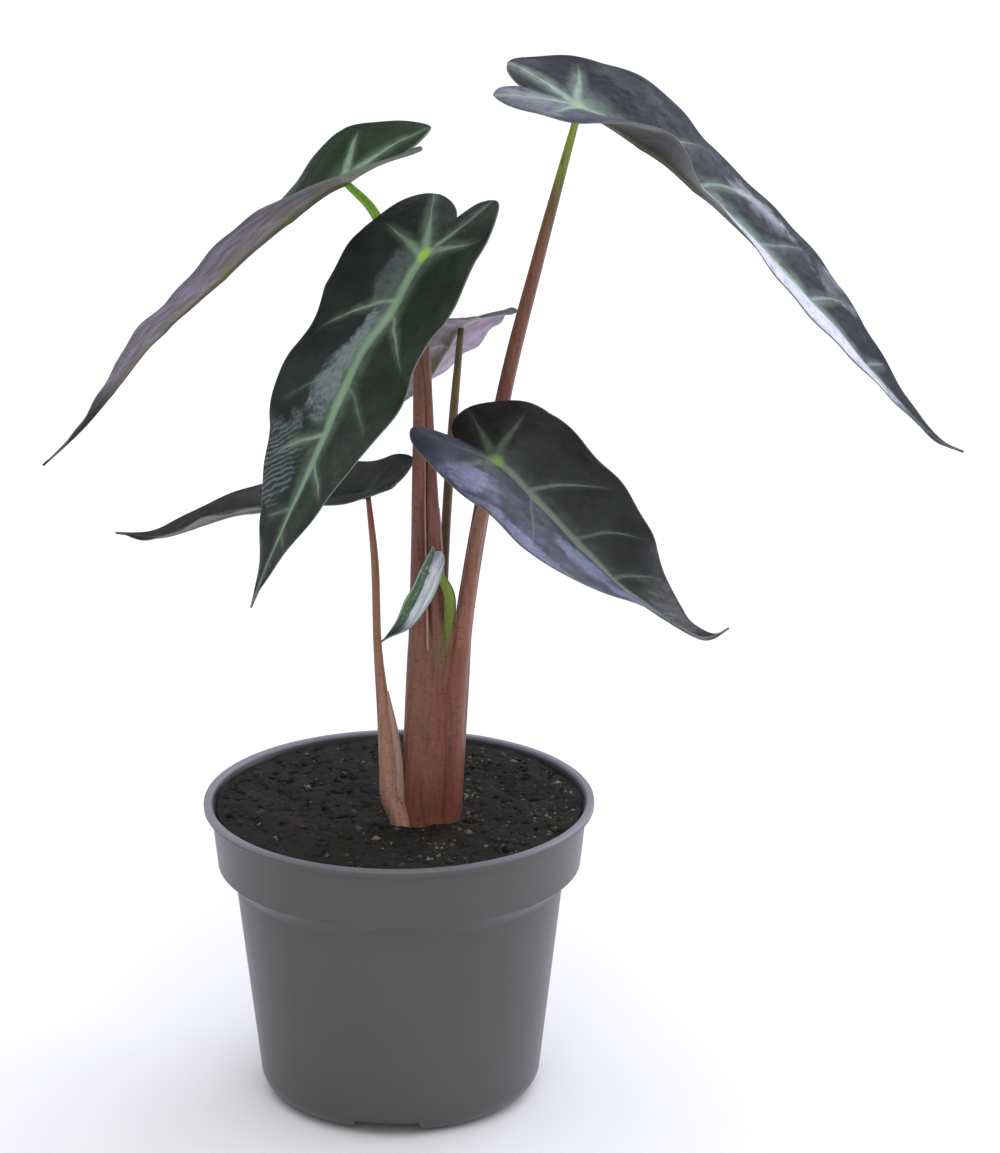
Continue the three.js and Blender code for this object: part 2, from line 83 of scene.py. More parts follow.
# Per leaf, as in the frame's own table. spine: points of the midrib from the lobes' end over the
# joint to the tip; pose: its roll and the rise of its left and right half there, in degrees;
# wave: height, number and phase of the margin's waves; petiole: the stalk's points with their
# radius; top: its radius under the blade; wing: a sheath that stands off it.
LEAVES = {
    "new": dict(
        spine=[[11.3, -9, 178.6], [10.2, -12, 175.5], [7.2, -16, 168.2], [4.8, -18, 163.4],
            [1.6, -19.6, 158], [-4.9, -21, 153.4]],
        pose=[[30, 10, 70], [35, 8, 75], [35, 8, 75], [35, 10, 70], [30, 10, 60], [0, 20, 40]],
        half_width=4.5, wave=[0, 1, 0],
        petiole=[[13, -1, 76, 1.6], [14.6, -3, 120, 1.5], [15.5, -6, 151, 1.8],
            [15.5, -9, 165, 1.7]],
        top=1.1),
    "front": dict(
        spine=[[22, -9, 286], [9, -22, 274], [-0.5, -30, 259], [-10.5, -38, 246], [-21, -48, 224],
            [-33, -56, 199], [-42, -60, 178]],
        pose=[[-11, 14, 18], [-4, 12, 13], [0, 12, 10], [0, 12, -2], [0, 14, 6], [0, 12, 6],
            [0, 8, 8]],
        half_width=29.6, wave=[0.9, 3, 0.05],
        petiole=[[11, -3.5, 76, 4], [11.8, -4.5, 120, 3.4], [12, -4, 155, 2.6],
            [10.8, -2.5, 187, 2], [9.6, 0.5, 214, 1.6], [8.8, -4, 242, 1.5]],
        top=1.4),
    "back": dict(
        spine=[[27.6, -4, 250.2], [19, 12, 243], [10, 30, 223], [-1, 48, 206], [-13, 60, 192]],
        pose=[[0, 6, 0], [0, 6, 8], [0, 10, 24], [0, 12, 24], [0, 8, 8]], half_width=18,
        wave=[0.6, 4, 0.4],
        petiole=[[9, 2.5, 76, 3], [12.5, 3, 125, 1.9], [14, 5, 170, 1.5], [16.5, 8, 210, 1.4]],
        top=1.2),
    "top_right": dict(
        spine=[[31, 1, 321], [54.5, -2, 313.5], [74, -6, 302.5], [88, -8, 291.5], [102, -10, 279],
            [126, -14, 254], [147, -17, 230], [160, -18, 217], [169, -20, 213]],
        pose=[[-6, 6, 3], [-5, 14, 18], [-5, 13, 50], [-5, 11, 27], [-5, 10, 22], [-5, 6, 18],
            [-5, 6, 16], [-5, 4, 10], [0, 4, 4]],
        half_width=29, wave=[2, 1.67, 0.67],
        petiole=[[14, -1, 76, 4], [17.8, -0.5, 127, 3.2], [21.3, 0.6, 162, 2.7],
            [31.8, 2.8, 222, 2.3], [42.2, -2, 267, 1.9]],
        top=1.3),
    "top_left": dict(
        spine=[[10, -3, 303], [-15, 0, 291], [-35, 6, 275], [-57, 15.5, 252.5], [-75, 25, 233],
            [-95, 33, 206], [-110, 38, 190]],
        pose=[[0, 8, 12], [12, 33, 20], [4, 25, 20], [0, 8, 12], [0, 3, 12], [0, 3, 8], [0, 2, 4]],
        half_width=26, wave=[0.3, 3, 0.3],
        petiole=[[7.4, -6.7, 76, 6.3], [7, -6.4, 105, 5.4], [6.3, -5.5, 130, 3.9],
            [6.3, -4.5, 155, 2.9], [6.4, -2.5, 190, 2.1], [6.4, -0.9, 238, 1.8],
            [1.5, 2, 261, 1.6], [-6, 2, 280, 1.5]],
        top=1.4),
    "right": dict(
        spine=[[12.5, -9, 216], [30, -24, 211], [48.5, -34, 194.5], [65, -44.5, 180.5],
            [80.5, -52, 171.5], [91, -56, 167], [98, -60, 172]],
        pose=[[-2, 22, 26], [-14, 24, 18], [-10, 25, 20], [-3, 17, 25], [8, 6, 22], [8, 12, 16],
            [0, 8, 8]],
        half_width=26, wave=[0.5, 4, 0.6],
        petiole=[[13.8, -7, 76, 3.9], [17, -6.8, 127, 3.1], [20.8, -6.5, 160, 2.4],
            [24.5, -9, 185, 2], [28, -16, 200, 1.8]],
        top=1.5),
    "left": dict(
        spine=[[2.5, -7, 199.5], [-9, -2, 194], [-30, 6, 188], [-51, 14, 182], [-73, 20, 173],
            [-87, 24, 173]],
        pose=[[0, 6, 24], [-1, 9, 26], [-4, 13, 26], [-4, 14, 20], [0, 12, 15], [0, 8, 8]],
        half_width=21, wave=[0.5, 4, 0.5],
        petiole=[[2.2, -9.4, 76, 3], [1, -9.4, 90, 3.3], [-2.3, -8.3, 99, 3.3],
            [-3.2, -7.4, 109, 2.8], [-4.4, -6, 125, 2.1], [-6.2, -4, 147, 1.3],
            [-6.8, -3, 172, 1.2]],
        wing=[[1, -9.5, 76, 0.8], [0.6, -8.8, 100, 1.4], [-0.6, -7.6, 116, 1.3],
            [-3.4, -6, 132, 0.6]],
        top=1),
}

# Main lateral veins of each blade on its left and right: the share of the blade's length where
# one leaves the midrib, and its strength. ribs: strengths of the outer and inner rib of a lobe.
VEINS = {
    "front": dict(
        left=[(0.18, 0.8), (0.39, 0.3), (0.60, 0.75), (0.79, 0.3)],
        right=[(0.13, 0.85), (0.34, 0.25), (0.52, 0.9), (0.73, 0.35)], ribs=(0.8, 0.9)),
    "top_right": dict(
        left=[(0.14, 0.5), (0.27, 0.55), (0.43, 0.35), (0.57, 0.6), (0.74, 0.4)],
        right=[(0.12, 0.4), (0.31, 0.3), (0.50, 0.3), (0.70, 0.3)], ribs=(0.9, 0.95)),
    "top_left": dict(
        left=[(0.15, 0.5), (0.36, 0.4), (0.56, 0.4), (0.76, 0.3)],
        right=[(0.12, 0.5), (0.32, 0.6), (0.52, 0.5), (0.72, 0.4)], ribs=(0.95, 0.95)),
    "right": dict(
        left=[(0.14, 0.65), (0.35, 0.42), (0.54, 0.45), (0.73, 0.25)],
        right=[(0.16, 0.45), (0.38, 0.35), (0.60, 0.3), (0.78, 0.3)], ribs=(0.45, 0.5)),
    "left": dict(
        left=[(0.2, 0.4), (0.45, 0.4), (0.7, 0.3)], right=[(0.15, 0.4), (0.4, 0.4), (0.65, 0.3)],
        ribs=(0.5, 0.5)),
    "back": dict(
        left=[(0.15, 0.7), (0.36, 0.6), (0.57, 0.6), (0.76, 0.4)],
        right=[(0.18, 0.7), (0.40, 0.6), (0.61, 0.5), (0.80, 0.4)], ribs=(0.8, 0.8)),
}
VEINS["new"] = VEINS["left"]
# A vein runs forward by slope and bend; lean turns a distance along the blade to one across it.
VEIN_SLOPE = 0.45
VEIN_BEND = 0.35
VEIN_LEAN = 0.88
# Degrees between a blade's direction and the outer rib of its lobe.
OUTER_RIB = 106

# Colours are linear, places along and across a blade are shares of its length and half width.
# left and right: the two tones of each half of the upper face; under: those of the lower face,
# with under_green between them and under_gloss. vein, halo and painted_sheen_tone: the tones of
# a vein, of the pale zone round it and of the painted sheen, a painted reflection; rough and
# gloss: those of the upper face. painted_sheen: where that painted reflection makes the upper
# face silvery, and flare: where the lower one is pale, as ellipses of centre along and across,
# half sizes, and strength or tone. rib: the midrib's half width in mm at the joint; halo_width:
# how far a vein's pale zone reaches; spot: strength of the bright joint; ripples: their height in
# mm. glancing: between which two facings the half named last turns to its pale tone, a painted
# sheen, and how much of that tone shows before; margin: that half's tone at its edge; tail: from
# where to where along the blade the tip darkens, and to which tone.
LOOKS = {
    "front": dict(
        left=((0.008, 0.014, 0.007), (0.014, 0.028, 0.011)),
        right=((0.012, 0.018, 0.013), (0.023, 0.030, 0.026)), vein=(0.24, 0.37, 0.22),
        halo=(0.150, 0.215, 0.160), halo_width=5.0, rib=2.4, spot=0.9, rough=0.36, gloss=0.32,
        ripples=0.10, under=((0.10, 0.085, 0.105), (0.19, 0.165, 0.20)), painted_sheen_tone=(0.27, 0.34, 0.34),
        painted_sheen=[(0.27, 0.15, 0.11, 0.13, 0.85), (0.40, 0.24, 0.12, 0.18, 0.75),
            (0.64, 0.50, 0.15, 0.36, 0.50), (0.08, 0.24, 0.10, 0.15, 0.28)]),
    "top_right": dict(
        left=((0.007, 0.010, 0.013), (0.018, 0.022, 0.036)),
        right=((0.060, 0.066, 0.085), (0.115, 0.124, 0.165)), vein=(0.34, 0.46, 0.38),
        halo=(0.27, 0.36, 0.30), halo_width=6.0, rib=2.0, spot=0.3, rough=0.38, gloss=0.14,
        ripples=0, glancing=(0.50, 0.80, 0.15, "right"), tail=(0.76, 0.88, (0.016, 0.019, 0.024)),
        under=((0.013, 0.010, 0.012), (0.040, 0.031, 0.041)), under_green=(0.035, 0.040, 0.015),
        under_gloss=0.15, painted_sheen_tone=(0.86, 0.87, 1.0),
        painted_sheen=[(0.58, 0.60, 0.44, 1.20, 1.0), (0.40, -0.60, 0.10, 0.18, 0.75),
            (0.60, -0.60, 0.08, 0.18, 0.60), (0.06, -0.75, 0.09, 0.16, 0.35),
            (-0.10, 0.5, 0.09, 0.5, 0.22), (-0.11, -0.35, 0.06, 0.3, 0.14)],
        flare=(0.11, 0.72, 0.05, 0.30, (0.34, 0.22, 0.32))),
    "top_left": dict(
        left=((0.05, 0.06, 0.07), (0.10, 0.11, 0.13)),
        right=((0.006, 0.020, 0.005), (0.014, 0.038, 0.012)), vein=(0.26, 0.38, 0.26),
        halo=(0.12, 0.19, 0.11), halo_width=5.0, rib=2.0, spot=0.3, rough=0.42, gloss=0.10,
        ripples=0, glancing=(0.45, 0.75, 0.10, "left"), margin=(0.085, 0.105, 0.030),
        tail=(0.70, 0.80, (0.018, 0.016, 0.016)),
        under=((0.195, 0.172, 0.205), (0.335, 0.290, 0.390)), under_green=(0.190, 0.205, 0.075),
        under_gloss=0.0, painted_sheen_tone=(0.25, 0.30, 0.30), painted_sheen=[(-0.1, -0.6, 0.1, 0.5, 0.4)]),
    "right": dict(
        left=((0.013, 0.015, 0.010), (0.022, 0.024, 0.023)),
        right=((0.034, 0.039, 0.057), (0.066, 0.073, 0.118)), vein=(0.22, 0.26, 0.20),
        halo=(0.075, 0.092, 0.085), halo_width=4.4, rib=1.8, spot=0.4, rough=0.38, gloss=0.22,
        ripples=0, glancing=(0.12, 0.42, 0.30, "right"),
        under=((0.08, 0.07, 0.085), (0.15, 0.13, 0.16)), painted_sheen_tone=(0.33, 0.34, 0.55),
        painted_sheen=[(0.02, 0.60, 0.10, 0.28, 0.75), (0.47, 0.30, 0.16, 0.20, 0.6),
            (0.66, 0.40, 0.10, 0.30, 0.6), (0.28, 0.88, 0.26, 0.13, 0.6)]),
    "left": dict(
        left=((0.012, 0.014, 0.012), (0.022, 0.024, 0.023)),
        right=((0.014, 0.015, 0.013), (0.024, 0.026, 0.025)), vein=(0.07, 0.09, 0.07),
        halo=(0.035, 0.042, 0.038), halo_width=3.0, rib=1.4, spot=0.1, rough=0.44, gloss=0.16,
        ripples=0, under=((0.045, 0.042, 0.045), (0.085, 0.078, 0.085)), painted_sheen_tone=(0.14, 0.15, 0.17),
        painted_sheen=[(0.4, 0.5, 0.2, 0.3, 0.2)]),
    "back": dict(
        left=((0.012, 0.022, 0.012), (0.026, 0.040, 0.028)),
        right=((0.012, 0.022, 0.012), (0.026, 0.040, 0.028)), vein=(0.22, 0.32, 0.20),
        halo=(0.09, 0.14, 0.10), halo_width=4.2, rib=1.7, spot=0.6, rough=0.4, gloss=0.35,
        ripples=0.04, under=((0.23, 0.150, 0.255), (0.42, 0.315, 0.47)), painted_sheen_tone=(0.25, 0.28, 0.30),
        painted_sheen=[(0.4, 0.4, 0.2, 0.3, 0.4), (0.6, -0.5, 0.15, 0.3, 0.3)]),
}
# Stalk colours from the soil to the blade, at shares of the height above the soil.
STALKS = {
    "top_left": [(0, (0.235, 0.070, 0.042)), (0.55, (0.235, 0.075, 0.046)),
                 (0.80, (0.18, 0.085, 0.035)), (0.90, (0.17, 0.36, 0.020)),
                 (1, (0.28, 0.56, 0.03))],
    "front": [(0, (0.225, 0.068, 0.042)), (0.7, (0.235, 0.085, 0.055)), (1, (0.14, 0.11, 0.04))],
    "back": [(0, (0.15, 0.058, 0.026)), (0.5, (0.135, 0.072, 0.022)), (1, (0.12, 0.095, 0.026))],
    "top_right": [(0, (0.235, 0.068, 0.042)), (0.5, (0.210, 0.062, 0.042)),
                  (0.80, (0.195, 0.070, 0.040)), (0.875, (0.18, 0.115, 0.030)),
                  (0.93, (0.27, 0.38, 0.03)), (1, (0.48, 0.66, 0.06))],
    "right": [(0, (0.240, 0.074, 0.046)), (0.6, (0.300, 0.115, 0.068)),
              (1, (0.29, 0.12, 0.065))],
    "left": [(0, (0.52, 0.275, 0.205)), (0.25, (0.44, 0.215, 0.150)),
             (0.6, (0.31, 0.150, 0.065)), (0.85, (0.28, 0.125, 0.060)),
             (0.95, (0.30, 0.045, 0.045)), (1, (0.26, 0.04, 0.04))],
    "new": [(0, (0.22, 0.070, 0.042)), (0.60, (0.18, 0.085, 0.028)), (0.74, (0.12, 0.17, 0.015)),
            (1, (0.18, 0.42, 0.02))],
}
# Sheath margins: turn at the foot and at the top in degrees, lowest and highest z, radius.
EDGES = {
    "top_left": (38, 20, 126, 210, 0.42),
    "front": (28, 12, 150, 190, 0.42),
    "right": (140, 172, 112, 158, 0.34),
    "left": (40, 12, 98, 132, 0.42),
}
# Points round a stalk, the height of its ridges as a share of its radius, and how far below the
# midrib's middle surface it ends.
STALK_SIDES = 36
STALK_RIDGES = 0.012
STALK_BELOW = 1.15
# The foot: how far the stalks swell there, from the soil to where they part, and the sheaths
# that fill the gaps between them (points with their radius).
BASE_SWELL = [(84, 0.45), (120, 0.40), (140, 0.25), (152, -0.05), (160, -0.5)]
BASE_STALKS = ("front", "back", "top_right", "top_left", "right", "new")
BASE_FILL = [
    [[10.5, -6.5, 84, 5.5], [10.6, -6.6, 105, 5.0], [10.4, -6.2, 122, 4.0],
     [10.2, -5.6, 138, 2.8], [10.0, -5, 150, 1.2]],
    [[13.2, -6.4, 84, 4.4], [13.6, -6.4, 105, 4.0], [14.2, -6.2, 124, 3.0],
     [15.6, -6, 140, 2.3], [16.6, -6, 149, 0.9]],
    [[4.6, -8.4, 84, 3.2], [3.9, -8.2, 90, 2.6], [3.4, -7.8, 97, 1.2]],
    [[9.6, -3.8, 132, 2.0], [9.2, -3.2, 160, 1.5], [8.7, -2.0, 185, 1.2],
     [8.2, -1.0, 204, 0.6]],
]
BASE_SIDES = 28
BASE_VOXEL = 0.42


# ---- curves ----

class Curve:
    """A Catmull-Rom curve with its length table, as the frame's curves are made.

    The points of a stalk end with their radius, which then changes smoothly along it.
    """

    samples = 200

    def __init__(self, points):
        self.points = np.array(points, float)
        places = [self.at(i / self.samples) for i in range(self.samples + 1)]
        steps = np.linalg.norm(np.diff(places, axis=0), axis=1)
        self.lengths = np.concatenate([[0], np.cumsum(steps)])

    def at(self, t):
        points = self.points
        last = len(points) - 1
        index = min(int(last * t), last - 1)
        w = last * t - index
        b, c = points[index], points[index + 1]
        a = points[index - 1] if index > 0 else 2 * b - c
        d = points[index + 2] if index + 2 <= last else 2 * c - b
        t0, t1 = (c - a) / 2, (d - b) / 2
        square = -3 * b + 3 * c - 2 * t0 - t1
        cube = 2 * b - 2 * c + t0 + t1
        return b + t0 * w + square * w * w + cube * w ** 3

    def tangent(self, t):
        step = (self.at(min(1, t + 1e-4)) - self.at(max(0, t - 1e-4)))[:3]
        return step / np.linalg.norm(step)

    def share(self, distance):
        """The curve's parameter at a distance along it."""
        return float(np.interp(distance, self.lengths, np.linspace(0, 1, self.samples + 1)))


def circle(radius, sides):
    """Points round a circle, as x and y."""
    turns = [2 * pi * k / sides for k in range(sides)]
    return [(radius * cos(turn), radius * sin(turn)) for turn in turns]


def strip(low, high):
    """The faces between two rings of point numbers."""
    low, high = list(low), list(high)
    return list(zip(low, low[1:] + low[:1], high[1:] + high[:1], high))


# ---- blades ----

def outer_share(along):
    """The outline's share of the half width.

    along is a share of the blade's length from the joint or, below 0, of the lobes' length.
    """
    if along >= 0:
        power = BLADE.taper + BLADE.taper_gain * along * along
        taper = max(0, 1 - along ** 3) ** power
        return taper * (1 - BLADE.waist * exp(-along / BLADE.waist_reach))
    bulge = max(0, 1 - along * along) ** BLADE.lobe_round
    return BLADE.lobe_centre + (1 - BLADE.waist - BLADE.lobe_centre) * bulge


def inner_share(along):
    """The inner edge of a half: the midrib, except behind the sinus, where the lobes part."""
    past = min(1, max(0, (-along - BLADE.sinus) / (1 - BLADE.sinus)))
    start, end = BLADE.lobe_inside
    return BLADE.lobe_centre * (1 - (1 - past ** start) ** end)


def blade_frame(spine, pose, t):
    """A blade's midrib point, its right, its upper side and its pose, at a share of the spine."""
    centre, tangent, lean = spine.at(t), spine.tangent(t), pose.at(t)
    level = np.cross(tangent, (0, 0, 1))
    level /= np.linalg.norm(level)
    roll = radians(lean[0])
    right = level * cos(roll) - np.cross(tangent, level) * sin(roll)
    return centre, right, np.cross(right, tangent), lean


def rib_angles(lengths):
    """Directions of the ribs in a lobe, from the blade's forward direction."""
    _, lobe_length, half_width = lengths
    to_tip = atan2(BLADE.lobe_centre * half_width * 1.1, -lobe_length)
    return (radians(OUTER_RIB), to_tip)


def vein_strength(name, along, across, lengths, reach):
    """How strongly a vein or rib shows within reach mm of a point: the materials' formula."""
    blade_length, _, half_width = lengths
    out = abs(across)
    base = along - VEIN_SLOPE * out - VEIN_BEND * out * out / half_width
    near = [(abs(base - share * blade_length) * VEIN_LEAN, strength)
            for share, strength in VEINS[name]["right" if across > 0 else "left"]]
    for angle, strength in zip(rib_angles(lengths), VEINS[name]["ribs"]):
        forward = along * cos(angle) + out * sin(angle)
        aside = abs(along * sin(angle) - out * cos(angle))
        near.append((aside if forward >= 0 else hypot(along, out), strength))
    return max(strength * exp(-(aside / reach) ** 2) for aside, strength in near)


def relief(name, along, across, share, lengths):
    """Height of the blade's own relief: veins sunk in a slightly puffed, uneven surface."""
    sunk = 0.30 * vein_strength(name, along, across, lengths, 1.5)
    puff = 0.34 * (1 - vein_strength(name, along, across, lengths, 5))
    midrib = 0.35 * exp(-(across / 1.5) ** 2) if along > 0 else 0
    seed = sum(ord(letter) for letter in name)
    uneven = 0.30 * noise.noise(Vector((along / 12 + seed, across / 7, seed)))
    fine = 0.03 * noise.noise(Vector((along / 2.8, across / 2.8, seed)))
    return (1 - share ** 5) * (puff - sunk - midrib + uneven + fine) - 0.1


def blade_mesh(name, leaf):
    """A blade's points, faces, each face's kind, each point's lamina coordinates, and lengths."""
    spine, pose = Curve(leaf["spine"]), Curve(leaf["pose"])
    half_width = leaf["half_width"]
    joint = 1 / (len(leaf["spine"]) - 1)
    lobe_length = spine.lengths[round(joint * Curve.samples)]
    blade_length = spine.lengths[-1] - lobe_length
    lengths = (blade_length, lobe_length, half_width)
    wave_height, wave_count, wave_phase = leaf["wave"]
    small = name == "new"
    back_rows, front_rows, columns = NEW_GRID if small else BLADE_GRID
    rows = [-(1 - (i / back_rows) ** 1.6) * 0.999 for i in range(back_rows)]
    rows += [0.998 * i / front_rows for i in range(front_rows + 1)]
    places, lamina, grid = [], [], {}
    for r, along in enumerate(rows):
        from_joint = along * (lobe_length if along < 0 else blade_length)
        t = spine.share(lobe_length + from_joint)
        centre, right, normal, lean = blade_frame(spine, pose, t)
        waves = wave_count * from_joint / blade_length + wave_phase
        wave = wave_height * sin(2 * pi * waves)
        ruffle = 0.25 * sin(from_joint / 2.9 + 7 * wave_phase)
        outer, inner = half_width * outer_share(along), half_width * inner_share(along)
        for side, lift in ((-1, lean[1]), (1, lean[2])):
            rise = radians(lift)
            bend = -BLADE.flatten * rise / half_width
            for c in range(columns + 1):
                if side > 0 and c == 0 and inner == 0:
                    grid[side, r, c] = grid[-1, r, 0]
                    continue
                share = (c / columns) ** 0.92
                across = inner + (outer - inner) * share
                sideways, height = across, 0
                if abs(rise) > LEVEL:
                    sideways = (sin(rise + bend * across) - sin(rise)) / bend
                    height = (cos(rise) - cos(rise + bend * across)) / bend
                height += side * wave * (across / half_width) ** 3
                if not small:
                    height += relief(name, from_joint, side * across, share, lengths)
                    height += ruffle * share ** 4
                grid[side, r, c] = len(places)
                places.append(centre + right * side * sideways + normal * height)
                lamina.append((from_joint, side * across, share))
    faces = []
    for side in (-1, 1):
        for r in range(len(rows) - 1):
            for c in range(columns):
                near, out, far, on = [grid[side, r + i, c + j]
                                      for i, j in ((0, 0), (0, 1), (1, 1), (1, 0))]
                faces.append((near, out, far, on) if side > 0 else (near, on, far, out))
    return (*close_blade(np.array(places), np.array(lamina), faces, lengths), lengths)


def close_blade(places, lamina, faces, lengths):
    """A closed blade round its middle surface: two faces, a rounded rim, a keel underneath."""
    flat = np.array(faces)
    corners = places[flat]
    crossed = np.cross(corners[:, 2] - corners[:, 0], corners[:, 3] - corners[:, 1])
    normals = np.zeros_like(places)
    for k in range(4):
        np.add.at(normals, flat[:, k], crossed)
    normals /= np.maximum(np.linalg.norm(normals, axis=1), TINY)[:, None]
    count = len(places)
    along, across, share = lamina.T
    thick = BLADE.edge + (BLADE.top - BLADE.edge) * (1 - share ** 3)
    reach = np.clip(1 - np.maximum(along, 0) / lengths[0], 0, 1)
    behind = np.clip(1 + np.minimum(along, 0) / (BLADE.sinus * lengths[1]), 0, 1)
    keel = BLADE.keel * reach * behind * np.exp(-(across / BLADE.keel_width) ** 2)
    top = places + normals * thick[:, None]
    bottom = places - normals * (thick + keel)[:, None]
    edges = dict.fromkeys(edge for face in faces for edge in zip(face, face[1:] + face[:1]))
    rim = [(a, b) for a, b in edges if (b, a) not in edges and a != b]
    outward = {}
    for a, b in rim:
        side = np.cross(places[b] - places[a], normals[a])
        for end in (a, b):
            outward[end] = outward.get(end, 0) + side
    bead = {end: 2 * count + i for i, end in enumerate(outward)}
    beads = [places[end] + side / max(np.linalg.norm(side), TINY) * BLADE.edge * 0.8
             for end, side in outward.items()]
    polygons = faces + [tuple(i + count for i in reversed(face)) for face in faces]
    for a, b in rim:
        polygons += [(b, a, bead[a], bead[b]), (bead[b], bead[a], a + count, b + count)]
    kinds = [0] * len(faces) + [1] * len(faces) + [2] * 2 * len(rim)
    coordinates = np.concatenate([lamina, lamina, lamina[list(outward)]])
    return np.concatenate([top, bottom, beads]), polygons, kinds, coordinates


def make_object(name, points, polygons, attribute=None, values=None, kinds=None, weld=0):
    """A mesh object in metres from points in mm, its faces turned out and close points joined."""
    mesh = bpy.data.meshes.new(name)
    mesh.from_pydata([tuple(p) for p in np.asarray(points) * MM], [], polygons)
    if kinds:
        mesh.polygons.foreach_set("material_index", kinds)
    if attribute:
        layer = mesh.attributes.new(attribute, "FLOAT_VECTOR", "POINT")
        layer.data.foreach_set("vector", np.asarray(values, float).ravel())
    work = bmesh.new()
    work.from_mesh(mesh)
    if weld:
        bmesh.ops.remove_doubles(work, verts=work.verts, dist=weld * MM)
    bmesh.ops.dissolve_degenerate(work, edges=work.edges, dist=1e-7)
    bmesh.ops.recalc_face_normals(work, faces=work.faces)
    for face in work.faces:
        face.smooth = True
    work.to_mesh(mesh)
    work.free()
    return put_object(name, mesh)


def put_object(name, data):
    made = bpy.data.objects.new(name, data)
    bpy.context.scene.collection.objects.link(made)
    return made


def apply_modifiers(made):
    """Gives an object the mesh that its modifiers make."""
    bpy.context.view_layer.update()
    made.data = bpy.data.meshes.new_from_object(
        made.evaluated_get(bpy.context.evaluated_depsgraph_get()))
    made.modifiers.clear()


# ---- material nodes ----

class Shader:
    """A node tree with short calls for the nodes that these materials use."""

    def __init__(self, name):
        self.material = bpy.data.materials.new(name)
        self.material.use_nodes = True
        self.tree = self.material.node_tree
        self.surface = self.tree.nodes["Principled BSDF"]
        self.colour = None

    def add(self, kind, **settings):
        node = self.tree.nodes.new(kind)
        for key, value in settings.items():
            setattr(node, key, value)
        return node

    def put(self, socket, value):
        if isinstance(value, bpy.types.NodeSocket):
            self.tree.links.new(value, socket)
        elif isinstance(value, tuple) and socket.type == "RGBA":
            socket.default_value = (*value, 1)
        else:
            socket.default_value = value

    def coat(self, tone, mask, strength=None):
        """Lays a tone over the colour where the mask is 1, or as strong as strength there."""
        mask = mask if strength is None else self.times(mask, strength)
        self.colour = self.mix(mask, self.colour, tone)

    def finish(self, **values):
        """The material, with its colour and these other values."""
        for key, value in {"Base_Color": self.colour, **values}.items():
            self.put(self.surface.inputs[key.replace("_", " ")], value)
        return self.material

    def math(self, operation, *values):
        node = self.add("ShaderNodeMath", operation=operation)
        for socket, value in zip(node.inputs, values):
            self.put(socket, value)
        return node.outputs[0]

    def plus(self, a, b):
        return self.math("ADD", a, b)

    def minus(self, a, b):
        return self.math("SUBTRACT", a, b)

    def times(self, a, b):
        return self.math("MULTIPLY", a, b)

    def larger(self, a, b):
        return self.math("MAXIMUM", a, b)

    def fma(self, a, b, c):
        """a times b, plus c."""
        return self.math("MULTIPLY_ADD", a, b, c)

    def squares(self, a, b):
        return self.fma(a, a, self.times(b, b))

    def step(self, value, low, high, to_low=0.0, to_high=1.0):
        """A smooth step from to_low where value is low to to_high where it is high."""
        node = self.add("ShaderNodeMapRange", interpolation_type="SMOOTHSTEP")
        for key, number in zip(("Value", "From Min", "From Max", "To Min", "To Max"),
                               (value, low, high, to_low, to_high)):
            self.put(node.inputs[key], number)
        return node.outputs[0]

    def mix(self, factor, a, b):
        node = self.add("ShaderNodeMix", data_type="RGBA")
        for index, value in ((0, factor), (6, a), (7, b)):
            self.put(node.inputs[index], value)
        return node.outputs[2]

    def noise(self, vector, scale, detail=3.0, rough=0.55, distortion=0.0):
        node = self.add("ShaderNodeTexNoise")
        for key, value in (("Vector", vector), ("Scale", scale), ("Detail", detail),
                           ("Roughness", rough), ("Distortion", distortion)):
            self.put(node.inputs[key], value)
        return node.outputs["Fac"]

    def ramp(self, factor, stops):
        node = self.add("ShaderNodeValToRGB")
        elements = node.color_ramp.elements
        while len(elements) < len(stops):
            elements.new(0.5)
        for element, (place, colour) in zip(elements, stops):
            element.position = place
            element.color = (*colour, 1)
        self.put(node.inputs[0], factor)
        return node.outputs[0]

    def split(self, vector):
        node = self.add("ShaderNodeSeparateXYZ")
        self.put(node.inputs[0], vector)
        return node.outputs

    def attribute(self, name):
        """The three numbers of a mesh's own coordinate, and its vector."""
        vector = self.add("ShaderNodeAttribute", attribute_name=name).outputs["Vector"]
        return (*self.split(vector), vector)

    def metres(self):
        """Object coordinates in metres."""
        return self.add("ShaderNodeTexCoord").outputs["Object"]

    def stretch(self, vector, scale):
        mapping = self.add("ShaderNodeMapping")
        mapping.inputs["Scale"].default_value = scale
        self.put(mapping.inputs["Vector"], vector)
        return mapping.outputs[0]

    def place(self, scale=(1, 1, 1)):
        """Object coordinates in mm, stretched."""
        return self.stretch(self.metres(), [1 / MM * part for part in scale])

    def bump(self, height, distance, strength=1.0, under=None):
        """A bump of height times distance in mm, over another one if under is given."""
        node = self.add("ShaderNodeBump")
        for key, value in (("Strength", strength), ("Distance", distance * MM),
                           ("Height", height)):
            self.put(node.inputs[key], value)
        if under is not None:
            self.put(node.inputs["Normal"], under)
        return node.outputs[0]


# ---- blade materials ----

